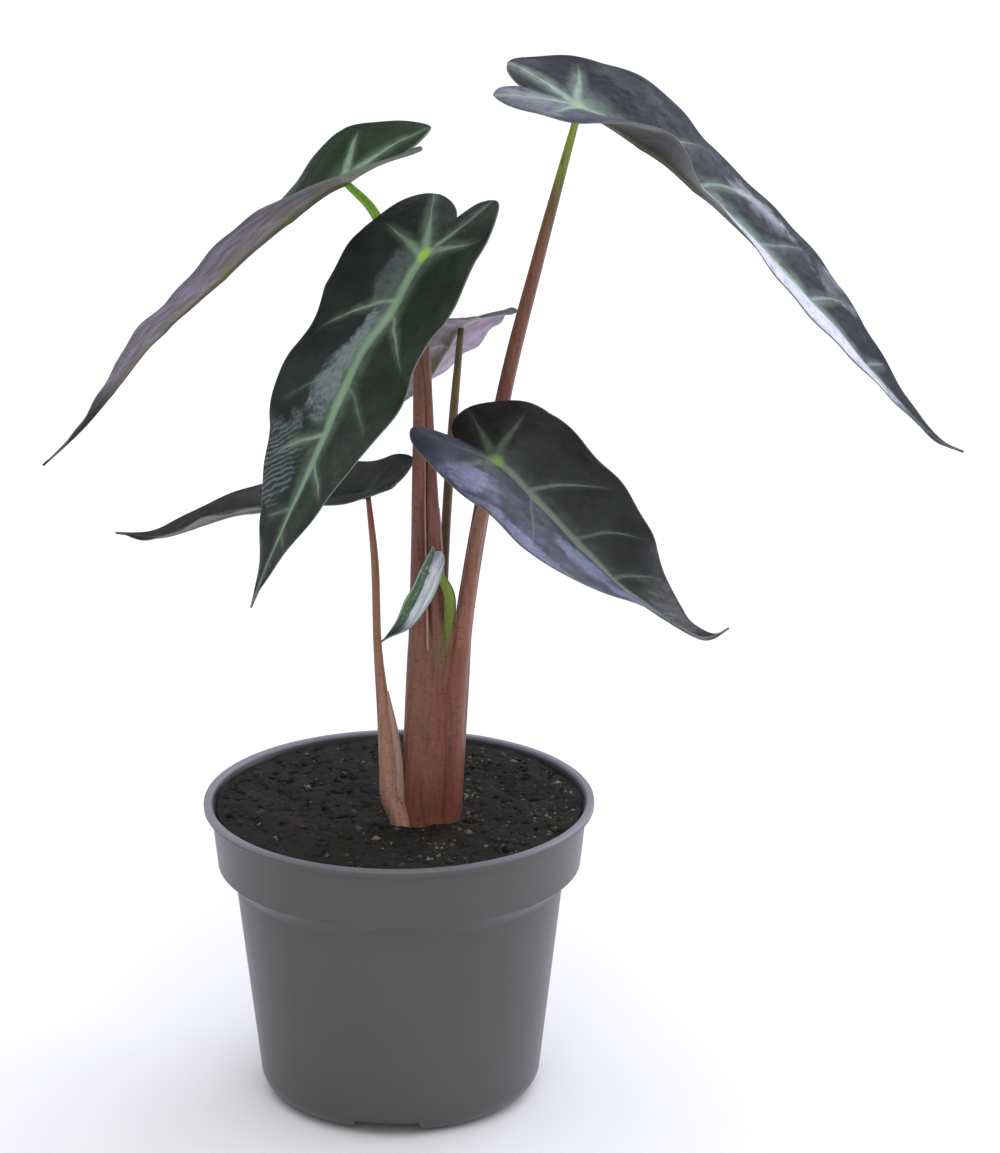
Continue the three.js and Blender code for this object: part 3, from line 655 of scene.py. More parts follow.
def vein_nodes(s, name, lengths):
    """A blade's lamina coordinates, and masks of its midrib, veins, halo and joint spot."""
    blade_length, lobe_length, half_width = lengths
    look = LOOKS.get(name, {})
    along, across, share, vector = s.attribute("lamina")
    wobbly = s.fma(s.minus(s.noise(vector, 0.07, 1.0), 0.5), 3.5, along)
    out = s.math("ABSOLUTE", across)
    square = s.times(out, out)
    reach = s.math("SQRT", s.fma(along, along, square))
    base = s.fma(square, -VEIN_BEND / half_width, s.fma(out, -VEIN_SLOPE, wobbly))
    vein_width = s.step(share, 0.0, 0.9, 1.35, 0.35)
    wide = look.get("halo_width", 4.0)
    halo_width = s.step(share, 0.0, 0.9, wide, wide * 0.4)

    def with_line(masks, aside, width, strength):
        vein, halo = masks
        return (s.larger(vein, s.step(aside, s.times(width, 0.1), width, strength, 0.0)),
                s.larger(halo, s.step(aside, 0.0, halo_width, strength, 0.0)))

    halves = []
    for side in ("left", "right"):
        masks = (0.0, 0.0)
        for place, strength in VEINS[name][side]:
            aside = s.math("ABSOLUTE", s.minus(base, place * blade_length))
            masks = with_line(masks, aside, vein_width, strength)
        halves.append(masks)
    on_right = s.math("GREATER_THAN", across, 0.0)
    masks = [s.fma(s.minus(right, left), on_right, left) for left, right in zip(*halves)]
    for angle, strength in zip(rib_angles(lengths), VEINS[name]["ribs"]):
        forward = s.fma(out, sin(angle), s.times(wobbly, cos(angle)))
        aside = s.math("ABSOLUTE", s.fma(out, -cos(angle), s.times(wobbly, sin(angle))))
        aside = s.fma(s.math("LESS_THAN", forward, 0.0), 100.0, aside)
        width = s.step(reach, 1.0, lobe_length * 0.85, 2.6, 0.35)
        masks = with_line(masks, aside, width, strength)
    faded = s.step(share, 0.92, 0.5)
    vein, halo = [s.times(mask, faded) for mask in masks]
    rib = s.step(along, blade_length * 0.3, blade_length, look.get("rib", 1.5), 0.35)
    midrib = s.step(out, s.times(rib, 1.2), s.times(rib, 0.3))
    midrib = s.times(midrib, s.step(along, -1.5, 0.5))
    near_rib = s.step(out, s.times(rib, 3.4), s.times(rib, 0.6))
    near_rib = s.times(near_rib, s.step(along, -3.0, 1.0))
    halo = s.larger(halo, s.times(near_rib, 0.8))
    halo = s.larger(halo, s.step(reach, wide * 2.2, 1.0))
    halo = s.times(halo, s.step(s.noise(vector, 0.22), 0.3, 0.62, 0.45, 1.0))
    spot = s.step(s.math("SQRT", s.fma(along, along, s.times(square, 1.3))), 3.6, 1.2)
    spot = s.times(spot, look.get("spot", 0.5))
    return SimpleNamespace(along=along, across=across, share=share, vector=vector, base=base,
                           vein=vein, midrib=midrib, halo=halo, spot=spot)


def ellipse(s, v, lengths, along, across, reach_along, reach_across):
    """How far a point is from a centre, squared: 1 on the ellipse with these half sizes."""
    blade_length, _, half_width = lengths
    return s.squares(
        s.math("DIVIDE", s.minus(v.along, along * blade_length), reach_along * blade_length),
        s.math("DIVIDE", s.minus(v.across, across * half_width), reach_across * half_width))


def painted_sheen_nodes(s, v, look, lengths):
    """Where a blade gets its painted sheen, a painted reflection: soft ellipses broken up by
    streaks along it.
    """
    frayed = s.minus(s.noise(v.vector, 0.20, 4.0, 0.6), 0.5)
    streaks = s.noise(s.stretch(v.vector, (0.55, 1.0, 0.2)), 1.0, 7.0, 0.72, 0.3)
    masks = 0.0
    for *where, strength in look["painted_sheen"]:
        far = s.fma(frayed, 3.0, ellipse(s, v, lengths, *where))
        edge = copysign(0.4, where[1])
        mask = s.times(s.step(v.across, -edge, edge), s.step(far, 1.15, 0.1, 0.0, strength))
        masks = s.larger(masks, mask)
    return s.times(masks, s.step(streaks, 0.30, 0.66, 0.45, 1.0))


def blade_upper(name, look, lengths):
    s = Shader(f"blade_{name}_upper")
    v = vein_nodes(s, name, lengths)
    blade_length = lengths[0]
    cloud = s.step(s.noise(v.vector, 0.08), 0.35, 0.65)
    left, right = [s.mix(cloud, *look[side]) for side in ("left", "right")]
    shown = painted_sheen = painted_sheen_nodes(s, v, look, lengths)
    if "glancing" in look:
        # Painted sheen: the sheen patches and the pale half's tone show fully only where one looks
        # along the blade.
        low, high, least, pale = look["glancing"]
        grazing_sheen = s.step(s.add("ShaderNodeLayerWeight").outputs["Facing"], low, high, least, 1.0)
        shown = painted_sheen = s.times(painted_sheen, grazing_sheen)
        if pale == "left":
            margin = s.step(v.share, 0.40, 0.92, 0.0, 0.8)
            left = s.mix(grazing_sheen, right, s.mix(margin, left, look["margin"]))
        else:
            right = s.mix(grazing_sheen, left, right)
    s.colour = s.mix(s.step(v.across, -0.8, 0.8), left, right)
    normal = s.bump(s.noise(v.vector, 0.35), 0.7, 0.45)
    if look["ripples"]:
        bent = s.times(s.noise(v.vector, 0.22, 2.0), 9.0)
        ripples = s.math("SINE", s.fma(v.base, 2.9, bent))
        low = s.step(v.along, blade_length * 0.46, blade_length * 0.58)
        ribbed = s.step(s.plus(ripples, s.noise(v.vector, 0.9)), -0.1, 1.3, 0.1, 1.0)
        shown = s.times(painted_sheen, s.fma(low, s.minus(ribbed, 1.0), 1.0))
        raised = s.times(ripples, s.step(painted_sheen, 0.0, 0.4, 0.12, 1.0))
        normal = s.bump(raised, look["ripples"], 0.6, normal)
    # Painted sheen: a painted reflection laid over the colour in silvery patches.
    s.coat(look["painted_sheen_tone"], shown)
    s.coat(look["halo"], v.halo, 0.75)
    strength = s.step(s.noise(v.vector, 0.4, 2.0), 0.25, 0.6, 0.55, 0.9)
    s.coat(look["vein"], v.vein, strength)
    s.coat(look["vein"], v.midrib, 0.85)
    s.coat((0.34, 0.60, 0.05), v.spot)
    if "tail" in look:
        start, end, tone = look["tail"]
        tail = s.step(v.along, blade_length * start, blade_length * end, 0.0, 0.9)
        s.coat(tone, tail)
    s.coat((0.12, 0.15, 0.12), s.step(v.share, 0.978, 0.996, 0.0, 0.6))
    rough = s.step(s.noise(v.vector, 0.3), 0.3, 0.7, look["rough"] - 0.06, look["rough"] + 0.10)
    return s.finish(Roughness=rough, Normal=normal, Specular_IOR_Level=look["gloss"])


def blade_under(name, tones, lengths):
    s = Shader(f"blade_{name}_under")
    v = vein_nodes(s, name, lengths)
    look = LOOKS.get(name, {})
    streaks = s.noise(s.stretch(v.vector, (0.14, 0.45, 0.2)), 0.7, 4.0, 0.6)
    s.colour = s.mix(s.step(streaks, 0.34, 0.68), *tones)
    green = s.step(s.noise(s.stretch(v.vector, (0.15, 0.6, 0.2)), 0.4, 2.0), 0.40, 0.66)
    green = s.times(s.larger(green, 0.35), s.step(v.share, 0.75, 0.05, 0.1, 1.0))
    s.coat(look.get("under_green", (0.105, 0.120, 0.050)), green, 0.85)
    pale = tuple(min(0.5, 1.5 * part + 0.03) for part in tones[1])
    s.coat(pale, v.halo, 0.25)
    s.coat(pale, v.vein, 0.55)
    s.coat((0.105, 0.105, 0.050), v.midrib, 0.8)
    s.coat((0.16, 0.20, 0.12), s.step(v.share, 0.965, 0.99, 0.0, 0.7))
    if "flare" in look:
        *where, tone = look["flare"]
        s.coat(tone, s.step(ellipse(s, v, lengths, *where), 1.2, 0.1, 0.0, 0.8))
    tip = s.step(v.along, lengths[0] * 0.66, lengths[0] * 0.82, 0.0, 0.88)
    s.coat((0.035, 0.033, 0.031), tip)
    normal = s.bump(s.noise(v.vector, 0.5), 0.4, 0.4, s.bump(v.vein, 0.25, 0.6))
    return s.finish(Roughness=0.46, Normal=normal, Specular_IOR_Level=look.get("under_gloss", 0.3))


def blade_rim(name):
    s = Shader(f"blade_{name}_rim")
    tone = s.noise(s.place(), 0.4, 2.0)
    s.colour = s.mix(tone, (0.10, 0.12, 0.09), (0.20, 0.23, 0.18))
    return s.finish(Roughness=0.45)


def new_blade_upper(lengths):
    """The young blade's two halves: one green, the other bluish white, a painted glossy highlight.
    """
    s = Shader("blade_new_upper")
    along, across, share, vector = s.attribute("lamina")
    ragged = s.minus(s.noise(s.stretch(vector, (0.5, 1, 1)), 0.8, 4.0), 0.5)
    half = s.step(s.fma(ragged, 4.0, across), -0.5, 0.5)
    stripes = s.step(s.noise(s.stretch(vector, (0.16, 1.6, 1)), 1.1, 4.0), 0.32, 0.68)
    green = s.mix(stripes, (0.012, 0.050, 0.010), (0.070, 0.150, 0.050))
    # The bluish-white half: a painted highlight.
    pale = s.mix(stripes, (0.34, 0.42, 0.52), (0.92, 0.95, 0.98))
    s.colour = s.mix(half, pale, green)
    flecks = s.step(s.noise(s.stretch(vector, (0.4, 1, 1)), 1.5, 4.0), 0.58, 0.66)
    s.coat((0.62, 0.72, 0.70), flecks, 0.55)
    low = s.step(along, lengths[0] * 0.55, lengths[0] * 0.85)
    s.coat((0.022, 0.030, 0.026), low)
    s.coat((0.36, 0.46, 0.38), s.step(share, 0.84, 0.96, 0.0, 0.75))
    return s.finish(Roughness=0.3, Normal=s.bump(stripes, 0.2, 0.4))


def make_blade(name, leaf):
    points, polygons, kinds, coordinates, lengths = blade_mesh(name, leaf)
    made = make_object(f"blade_{name}", points, polygons, "lamina", coordinates, kinds, BLADE_WELD)
    if name == "new":
        upper, tones = new_blade_upper(lengths), ((0.05, 0.10, 0.035), (0.12, 0.20, 0.08))
    else:
        upper, tones = blade_upper(name, LOOKS[name], lengths), LOOKS[name]["under"]
    for material in (upper, blade_under(name, tones, lengths), blade_rim(name)):
        made.data.materials.append(material)
    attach(made, "root")
    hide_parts(f"leaf_{name}")


# ---- stalks ----

def stalk_streaks(s, low):
    """Streaks along a stalk's colour, flecks across its low part, and values for finish."""
    streaks = s.step(s.noise(s.place((1, 1, 0.10)), 1.1), 0.38, 0.66)
    s.coat((0.27, 0.13, 0.085), streaks, 0.30)
    dark = s.step(s.noise(s.place((1, 1, 0.05)), 0.7), 0.50, 0.72)
    s.coat((0.055, 0.020, 0.013), dark, 0.45)
    olive = s.step(s.noise(s.place((0.5, 0.5, 0.12)), 0.35, 2.0), 0.52, 0.72)
    s.coat((0.10, 0.075, 0.030), olive, 0.28)
    crossing = s.step(s.noise(s.place((0.35, 0.35, 1.5)), 1.5, 2.0, 0.6), 0.58, 0.68)
    flecks = s.times(s.times(crossing, low), 0.62)
    s.coat((0.035, 0.014, 0.010), flecks)
    normal = s.bump(streaks, 0.20, 0.7)
    normal = s.bump(s.noise(s.place((1, 1, 0.3)), 1.6), 0.25, 0.5, normal)
    normal = s.bump(crossing, -0.10, 0.5, normal)
    return dict(Roughness=0.42, Normal=normal, Specular_IOR_Level=0.45)


def stalk_material(name, stops):
    s = Shader(f"stalk_{name}")
    height, pale, _, _ = s.attribute("stalk")
    s.colour = s.ramp(height, stops)
    values = stalk_streaks(s, s.step(height, 0.95, 0.55))
    s.coat((0.50, 0.33, 0.31), pale, 0.85)
    return s.finish(**values)


def base_material():
    """The grown-together foot of the stalks: red-brown, olive under the new leaf and below."""
    s = Shader("stem_base")
    x, _, z = [s.times(part, 1 / MM) for part in s.split(s.metres())]
    s.colour = s.mix(s.step(z, 150, 96), (0.215, 0.078, 0.044), (0.225, 0.066, 0.040))
    s.coat((0.215, 0.052, 0.034), s.step(x, 9.5, 13.0), 0.5)
    far = s.squares(s.math("DIVIDE", s.minus(x, 13.6), 3.2),
                    s.math("DIVIDE", s.minus(z, 149), 12))
    patch = s.step(s.plus(far, s.noise(s.place(), 0.3, 2.0)), 1.5, 0.5)
    s.coat((0.105, 0.120, 0.018), patch, 0.8)
    foot = s.step(s.fma(s.noise(s.place(), 0.25, 2.0), 6.0, z), 98, 92)
    s.coat((0.20, 0.12, 0.045), foot, 0.5)
    return s.finish(**stalk_streaks(s, 1.0))


def cross_axes(tangent):
    """Right and viewer's side of a path that runs up: where a turn of 0 and of 90 degrees look."""
    across = np.cross((0, 1, 0), tangent)
    across /= np.linalg.norm(across)
    return across, np.cross(across, tangent)


def tube(points, sides, steps, ridges=0.0, pale=0):
    """A closed tube along points that end with their radius: points, heights and pale, faces."""
    path = Curve(points)
    count = steps * (len(points) - 1)
    places, values, rings = [], [], []
    for i in range(count + 1):
        t = i / count
        place = path.at(t)
        across, front = cross_axes(path.tangent(t))
        rings.append(range(i * sides, (i + 1) * sides))
        for k in range(sides):
            turn = 2 * pi * k / sides
            grow = 1 + ridges * sin(7 * turn + 2 * t) + ridges * 0.6 * sin(12 * turn)
            offset = across * cos(turn) + front * sin(turn)
            places.append(place[:3] + offset * place[3] * grow)
            values.append((place[2], pale, 0))
    faces = [face for low, high in zip(rings, rings[1:]) for face in strip(low, high)]
    return places, values, faces + [tuple(reversed(rings[0])), tuple(rings[-1])]


def join(parts):
    """One set of points, values and faces out of several."""
    points, values, faces = [], [], []
    for more_points, more_values, more_faces in parts:
        start = len(points)
        points += list(more_points)
        values += list(more_values)
        faces += [tuple(i + start for i in face) for face in more_faces]
    return points, values, faces


def sheath_edge(points, turn_from, turn_to, low, high, radius):
    """The pale margin of a sheath: a thin bead that runs up the outside of a stalk."""
    path = Curve(points)
    samples = [i / 400 for i in range(401)]
    inside = [t for t in samples if low <= path.at(t)[2] <= high]
    route = []
    for j in range(13):
        t = inside[round(j * (len(inside) - 1) / 12)]
        place = path.at(t)
        across, front = cross_axes(path.tangent(t))
        turn = radians(turn_from + (turn_to - turn_from) * j / 12)
        offset = across * cos(turn) + front * sin(turn)
        thin = radius * (0.35 + 0.65 * sin(pi * ((j + 1) / 13)) ** 0.5)
        route.append([*(place[:3] + offset * (place[3] + radius * 0.2)), thin])
    return tube(route, 8, 3, pale=1)


def stalk_route(leaf):
    """A stalk's points with its radius, to just under the blade that it carries."""
    joint = 1 / (len(leaf["spine"]) - 1)
    centre, _, up, _ = blade_frame(Curve(leaf["spine"]), Curve(leaf["pose"]), joint)
    return leaf["petiole"] + [[*(centre - up * STALK_BELOW), leaf["top"] * 0.8]]


def make_stem_base():
    parts = []
    heights, swells = zip(*BASE_SWELL)
    for name in BASE_STALKS:
        path = Curve(LEAVES[name]["petiole"])
        route = []
        for i in range(61):
            x, y, z, radius = path.at(i / 60)
            if heights[0] <= z <= heights[-1]:
                route.append([x, y, z, radius + np.interp(z, heights, swells)])
        parts.append(tube(route[::3] + [route[-1]], BASE_SIDES, 4))
    parts += [tube(points, BASE_SIDES, 8) for points in BASE_FILL]
    points, _, faces = join(parts)
    made = make_object("stem_base", points, faces)
    remesh = made.modifiers.new("grow", "REMESH")
    remesh.mode, remesh.voxel_size = "VOXEL", BASE_VOXEL * MM
    smooth = made.modifiers.new("soften", "SMOOTH")
    smooth.factor, smooth.iterations = 0.5, 14
    apply_modifiers(made)
    made.data.shade_smooth()
    made.data.materials.clear()
    made.data.materials.append(base_material())
    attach(made, "root")


def make_stalk(name, leaf):
    route = stalk_route(leaf)
    parts = [tube(route, STALK_SIDES, 12, STALK_RIDGES)]
    if "wing" in leaf:
        parts.append(tube(leaf["wing"], 20, 10, pale=0.55))
    if name in EDGES:
        parts.append(sheath_edge(route, *EDGES[name]))
    points, values, faces = join(parts)
    low, high = SOIL.top - SOIL.skirt, leaf["spine"][1][2]
    values = [((z - low) / (high - low), pale, 0) for z, pale, _ in values]
    made = make_object(f"stalk_{name}", points, faces, "stalk", values)
    made.data.materials.append(stalk_material(name, STALKS[name]))
    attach(made, "root")
    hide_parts(f"petiole_{name}")


# ---- pot ----

def pot_material():
    s = Shader("pot_plastic")
    places = s.place()
    cloud = s.noise(places, 0.03)
    grain = s.noise(places, 2.4)
    s.colour = s.mix(cloud, (0.062, 0.062, 0.056), (0.076, 0.076, 0.072))
    scuffs = s.step(s.noise(s.place((1, 1, 0.3)), 0.35, 6.0, 0.7), 0.62, 0.80)
    s.coat((0.15, 0.15, 0.155), scuffs, 0.12)
    # In metres: the lip's top is painted paler and lavender, a painted highlight that is weaker at
    # the front, and the wall inside it is darker, painted shade.
    x, y, z = s.split(s.metres())
    # Painted highlight on the lip's top.
    lip = s.times(s.step(z, 0.0936, 0.0948), s.step(y, -0.058, -0.030, 0.35, 0.9))
    s.coat((0.25, 0.245, 0.29), lip)
    # Painted shade on the wall just inside the collar.
    collar = s.fma(z, 0.11, 0.0558 - 0.11 * 0.075)
    depth = s.minus(collar, s.math("SQRT", s.squares(x, y)))
    inside = s.times(s.step(depth, 0.0003, 0.0008), s.step(z, 0.080, 0.084))
    s.coat((0.022, 0.022, 0.022), inside, 0.85)
    normal = s.bump(cloud, 0.6, 0.25, s.bump(grain, 0.05, 0.35))
    return s.finish(Roughness=s.step(grain, 0.3, 0.7, 0.40, 0.52), Normal=normal,
                    Specular_IOR_Level=0.5, Sheen_Weight=0.16, Sheen_Roughness=0.35,
                    Sheen_Tint=(0.80, 0.78, 1.0))


def collar_radius(height):
    share = (height - POT.collar_foot_height) / (POT.height - POT.collar_foot_height)
    return POT.collar_foot_radius + (POT.collar_top_radius - POT.collar_foot_radius) * share


def wall_profile(inset):
    """Radius and height of the wall from the foot to the collar's foot, moved inwards."""
    points = []
    for i in range(13):
        turn = pi / 2 * i / 12
        wide = POT.body_foot_radius - POT.foot_radius
        points.append((POT.foot_radius + wide * sin(turn) - inset,
                       inset + (POT.corner_height + inset) * (1 - cos(turn))))
    wide = POT.collar_foot_radius - POT.body_top_radius
    tall = POT.collar_foot_height - POT.body_top_height
    for i in range(17):
        share = i / 16
        ease = share * share * (1.6 - 0.6 * share)
        points.append((POT.body_top_radius - inset + wide * ease,
                       POT.body_top_height + tall * share))
    return points


def lathe(name, profile, sides):
    points, faces, rings = [], [], []
    for radius, height in profile:
        on_axis = radius < TINY
        ring = [(0, 0)] if on_axis else circle(radius, sides)
        rings.append([len(points)] * sides if on_axis
                     else range(len(points), len(points) + sides))
        points += [(x, y, height) for x, y in ring]
    for low, high in zip(rings, rings[1:]):
        faces += [tuple(dict.fromkeys(face)) for face in strip(low, high)]
    return make_object(name, points, faces)


def combine(target, tool, operation):
    modifier = target.modifiers.new("cut", "BOOLEAN")
    modifier.operation, modifier.solver, modifier.object = operation, "EXACT", tool
    apply_modifiers(target)
    bpy.data.objects.remove(tool)
    return target


def channel_bar(index, grow):
    """One drain channel under the floor: a trapezium that runs out through the foot."""
    height = CHANNEL.height + grow
    roof, mouth = CHANNEL.roof_width / 2 + grow, CHANNEL.mouth_width / 2 + grow
    turn = radians(CHANNEL.first_angle + 360 / CHANNEL.count * index)
    points = []
    for distance in (CHANNEL.inner_end - grow, POT.body_top_radius):
        for sideways, z in ((-mouth, -1), (mouth, -1), (roof, height), (-roof, height)):
            points.append((distance * cos(turn) - sideways * sin(turn),
                           distance * sin(turn) + sideways * cos(turn), z))
    faces = [(0, 1, 2, 3), (7, 6, 5, 4)]
    faces += [(k, (k + 1) % 4, (k + 1) % 4 + 4, k + 4) for k in range(4)]
    return make_object(f"bar_{index}", points, faces)


def drain_hole(index):
    turn = radians(CHANNEL.first_angle + 360 / CHANNEL.count * index)
    middle = CHANNEL.height + POT.wall / 2
    hole = lathe(f"hole_{index}", [(0, middle - 3), (CHANNEL.hole_radius, middle - 3),
                                   (CHANNEL.hole_radius, middle + 3), (0, middle + 3)], 48)
    shift = Vector((cos(turn), sin(turn), 0)) * CHANNEL.hole_distance * MM
    for vertex in hole.data.vertices:
        vertex.co += shift
    return hole


def make_pot():
    lip_foot = POT.height - POT.lip_height
    bevel, lip = POT.lip_bevel, POT.lip_radius
    inside = collar_radius(POT.height) - POT.wall
    outer = [(0, 0)] + wall_profile(0)
    outer += [(collar_radius(lip_foot - 0.9), lip_foot - 0.9),
              (collar_radius(lip_foot) + 0.25, lip_foot - 0.2), (lip - bevel, lip_foot)]
    for middle, start in ((lip_foot + bevel, -1), (POT.height - bevel, 0)):
        for i in range(5):
            turn = pi / 2 * (i / 4 + start)
            outer.append((lip - bevel + bevel * cos(turn), middle + bevel * sin(turn)))
    inner = [(inside + out, POT.height - down)
             for out, down in ((1.3, 0), (1.0, 0.2), (0.2, 1.6), (0, 2.4))]
    inner += list(reversed(wall_profile(POT.wall))) + [(0, POT.wall)]
    pot = lathe("pot_shell", outer + inner, POT.sides)
    for i in range(CHANNEL.count):
        solid = lathe("pot_solid", [(0, 0)] + wall_profile(0) + [(0, POT.collar_foot_height)],
                      POT.sides)
        combine(pot, combine(channel_bar(i, POT.wall), solid, "INTERSECT"), "UNION")
    for i in range(CHANNEL.count):
        combine(pot, channel_bar(i, 0), "DIFFERENCE")
        combine(pot, drain_hole(i), "DIFFERENCE")
    work = bmesh.new()
    work.from_mesh(pot.data)
    bmesh.ops.remove_doubles(work, verts=work.verts, dist=POT_WELD * MM)
    for face in work.faces:
        face.smooth = True
    for edge in work.edges:
        if len(edge.link_faces) == 2 and edge.calc_face_angle(0) > radians(POT_CREASE):
            edge.smooth = False
    work.to_mesh(pot.data)
    work.free()
    pot.data.materials.clear()
    pot.data.materials.append(pot_material())
    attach(pot, "root")
    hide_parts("pot")


# ---- soil ----

def soil_material(name):
    s = Shader(name)
    bright, hue, wet, _ = s.attribute("crumb")
    places = s.place()
    grain = s.noise(places, 1.4, 6.0, 0.7)
    s.colour = s.mix(s.step(grain, 0.35, 0.7), (0.0035, 0.0034, 0.0022), (0.0175, 0.0165, 0.0110))
    crumb = s.ramp(hue, [(0, (0.008, 0.0075, 0.005)), (0.50, (0.021, 0.0195, 0.013)),
                         (0.70, (0.046, 0.043, 0.031)), (0.86, (0.095, 0.087, 0.068)),
                         (1, (0.20, 0.185, 0.155))])
    s.coat(crumb, bright)
    red = s.step(s.noise(places, 0.06), 0.52, 0.68)
    s.coat((0.032, 0.018, 0.012), red, 0.3)
    return s.finish(Roughness=s.step(wet, 0, 1, 0.95, 0.6), Normal=s.bump(grain, 0.7, 0.7),
                    Specular_IOR_Level=0.25)


def corm_material():
    s = Shader("corm_fibre")
    rings = s.noise(s.place((0.3, 0.3, 1)), 0.9, 5.0)
    s.colour = s.mix(rings, (0.16, 0.09, 0.05), (0.36, 0.24, 0.14))
    return s.finish(Roughness=0.85, Normal=s.bump(rings, 0.6, 0.8))


def soil_height(x, y):
    broad = sin(x / SOIL.broad[0] + 1) * cos(y / SOIL.broad[1])
    fine = sin(x / SOIL.fine[0] + y / SOIL.fine[1]) / 2
    from_plant = hypot(x - PLANT[0], y - PLANT[1]) / SOIL.dip_spread
    return SOIL.top - SOIL.dip * exp(-from_plant ** 2) + SOIL.lump * (broad + fine)


def crumbs(rng, count, low, high, rim):
    """Loose crumbs: bent octahedra of random size, half sunk in the soil."""
    corners = [(1, 0, 0), (-1, 0, 0), (0, 1, 0), (0, -1, 0), (0, 0, 1), (0, 0, -1)]
    sides = [(0, 2, 4), (2, 1, 4), (1, 3, 4), (3, 0, 4), (2, 0, 5), (1, 2, 5), (3, 1, 5),
             (0, 3, 5)]
    points, values, faces = [], [], []
    for _ in range(count):
        distance = rim * sqrt(rng.random())
        turn = rng.random() * 2 * pi
        x, y = distance * cos(turn), distance * sin(turn)
        size = low + (high - low) * rng.random() ** 3
        tilt = rng.random() * pi
        stretch = (0.7 + rng.random() * 0.9, 0.5 + rng.random() * 0.6, 0.4 + rng.random() * 0.4)
        height = soil_height(x, y) + size * 0.18
        hue, wet = rng.random(), rng.random()
        patch = 0.85 + 1.0 * noise.noise(Vector((x / 8, y / 8, 21))) + 0.25 * x / rim
        hue = min(1, max(0, hue ** 1.15 * patch))
        start = len(points)
        for corner in corners:
            a, b, c = [part * k * size * (0.75 + 0.5 * rng.random())
                       for part, k in zip(corner, stretch)]
            points.append((x + a * cos(tilt) - b * sin(tilt),
                           y + a * sin(tilt) + b * cos(tilt), height + c))
            values.append((1, hue, wet))
        faces += [tuple(start + k for k in side) for side in sides]
    return points, values, faces


def make_soil():
    rng = random.Random(11)
    rim = collar_radius(SOIL.top) - POT.wall - GAP
    points = []
    for i in range(SOIL.rings + 1):
        for x, y in circle(rim * (0.004 + 0.996 * i / SOIL.rings), SOIL.sides):
            rough = noise.fractal(Vector((x / 5, y / 5, 3)), 1.0, 2.0, 5)
            lumps = noise.noise(Vector((x / 1.7, y / 1.7, 9)))
            points.append((x, y, soil_height(x, y) + 0.35 + 0.70 * rough + 0.30 * lumps))
    points += [(x, y, SOIL.top - SOIL.skirt) for x, y in circle(rim, SOIL.sides)]
    rings = [range(start, start + SOIL.sides) for start in range(0, len(points), SOIL.sides)]
    faces = [face for low, high in zip(rings, rings[1:]) for face in strip(low, high)]
    faces += [tuple(reversed(rings[0])), tuple(rings[-1])]
    surface = (points, [(0, 0.5, 0.5)] * len(points), faces)
    loose = [crumbs(rng, count, low, high, rim - margin) for count, low, high, margin in CRUMBS]
    points, values, faces = join([surface, *loose])
    made = make_object("soil_crumbs", points, faces, "crumb", values)
    made.data.materials.append(soil_material("soil_surface"))
    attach(made, "root")


# ---- stage ----

def make_floor():
    work = bmesh.new()
    bmesh.ops.create_grid(work, x_segments=1, y_segments=1, size=6)
    mesh = bpy.data.meshes.new("floor")
    work.to_mesh(mesh)
    work.free()
    floor = put_object("floor", mesh)
    s = Shader("floor_paint")
    tone = s.noise(s.place((0.01, 0.01, 0.01)), 0.5, 2.0)
    s.colour = s.mix(tone, (0.90, 0.90, 0.90), (0.93, 0.93, 0.93))
    floor.data.materials.append(s.finish(Roughness=0.9))


def make_world():
    """A pale grey studio, brighter above than below."""
    world = bpy.data.worlds.new("studio")
    world.use_nodes = True
    tree = world.node_tree
    background = tree.nodes["Background"]
    coordinate = tree.nodes.new("ShaderNodeTexCoord")
    split = tree.nodes.new("ShaderNodeSeparateXYZ")
    ramp = tree.nodes.new("ShaderNodeValToRGB")
    for element, (place, level) in zip(ramp.color_ramp.elements, ((0.0, 0.30), (0.7, 0.62))):
        element.position = place
        element.color = (level * 0.93, level * 0.94, level, 1)
    tree.links.new(coordinate.outputs["Generated"], split.inputs[0])
    tree.links.new(split.outputs[2], ramp.inputs[0])
    tree.links.new(ramp.outputs[0], background.inputs["Color"])
    background.inputs["Strength"].default_value = 0.75
    bpy.context.scene.world = world
    bpy.context.scene.view_settings.view_transform = "Standard"


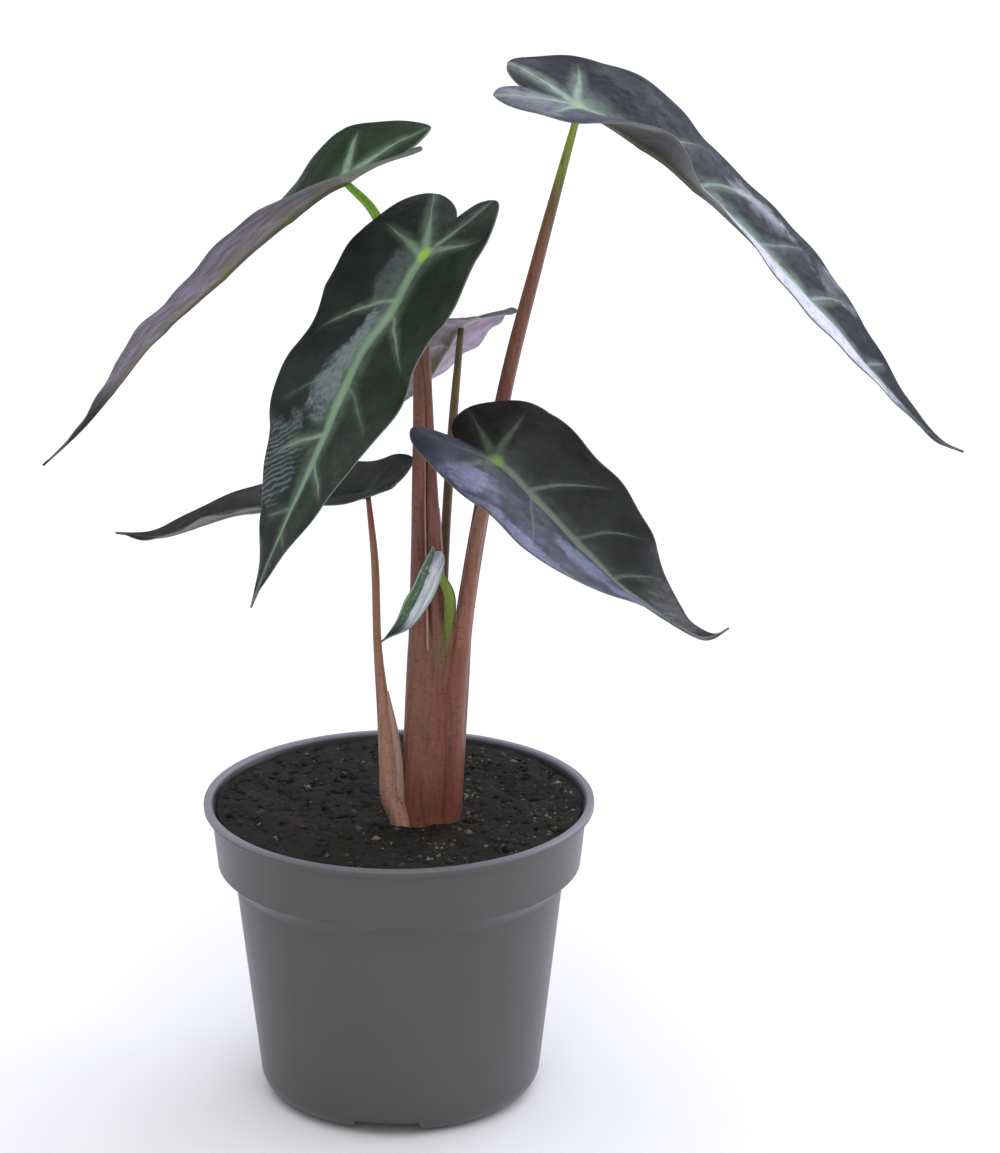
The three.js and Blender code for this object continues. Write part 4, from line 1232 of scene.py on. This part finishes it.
def aim(name, data, place, target):
    """A lamp or camera at a place, pointed at its target."""
    made = put_object(name, data)
    made.location = place
    made.rotation_euler = (Vector(target) - Vector(place)).to_track_quat("-Z", "Y").to_euler()
    return made


def put_lamp(name, kind, place, target, power, colour):
    light = bpy.data.lights.new(name, kind)
    light.energy, light.color = power, colour
    aim(name, light, place, target).visible_camera = False
    return light


def make_lamps():
    """Two suns with their angle in degrees, and three panels with their size in metres."""
    for name, place, angle, power, colour in (
            ("sky", (0.35, 0.3, 2), 100, 1.85, (0.95, 0.95, 1.0)),
            ("front", (0.1, -1.7, 1.3), 50, 0.75, (1, 1, 1))):
        put_lamp(name, "SUN", place, (0, 0, 0), power, colour).angle = radians(angle)
    middle = (0.03, 0, 0.17)
    for name, place, target, size, power, colour in (
            ("back_right", (0.9, 1.1, 0.95), middle, (1.0, 0.8), 5, (0.84, 0.84, 1.0)),
            ("right", (1.5, 0.30, 0.35), (0, 0, 0.08), (0.5, 0.9), 7, (0.82, 0.80, 1.0)),
            ("back_left", (-1.0, 0.9, 0.8), middle, (0.7, 0.7), 1.0, (0.84, 0.84, 1.0))):
        light = put_lamp(name, "AREA", place, target, power, colour)
        light.shape = "RECTANGLE"
        light.size, light.size_y = size


def make_camera():
    """The photograph's view: its focal length in pixels, for a frame that is 1153 pixels high."""
    pitch, distance = radians(19.1), 1.7
    target = Vector((0.031, 0, 0.167))
    focal, frame_height, sensor = 5610, 1153, 36
    camera = bpy.data.cameras.new("camera")
    camera.sensor_width = sensor
    camera.lens = focal / frame_height * sensor
    camera.clip_start, camera.clip_end = 0.05, 30
    place = target + Vector((0, -cos(pitch), sin(pitch))) * distance
    bpy.context.scene.camera = aim("camera", camera, place, target)


make_camera()
make_floor()
make_world()
make_lamps()
for leaf_name, leaf_data in LEAVES.items():
    make_blade(leaf_name, leaf_data)
    make_stalk(leaf_name, leaf_data)
make_stem_base()
make_pot()
make_soil()
for node, material in (("soil", soil_material("soil_inside")), ("corm", corm_material())):
    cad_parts[node].data.materials.clear()
    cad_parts[node].data.materials.append(material)
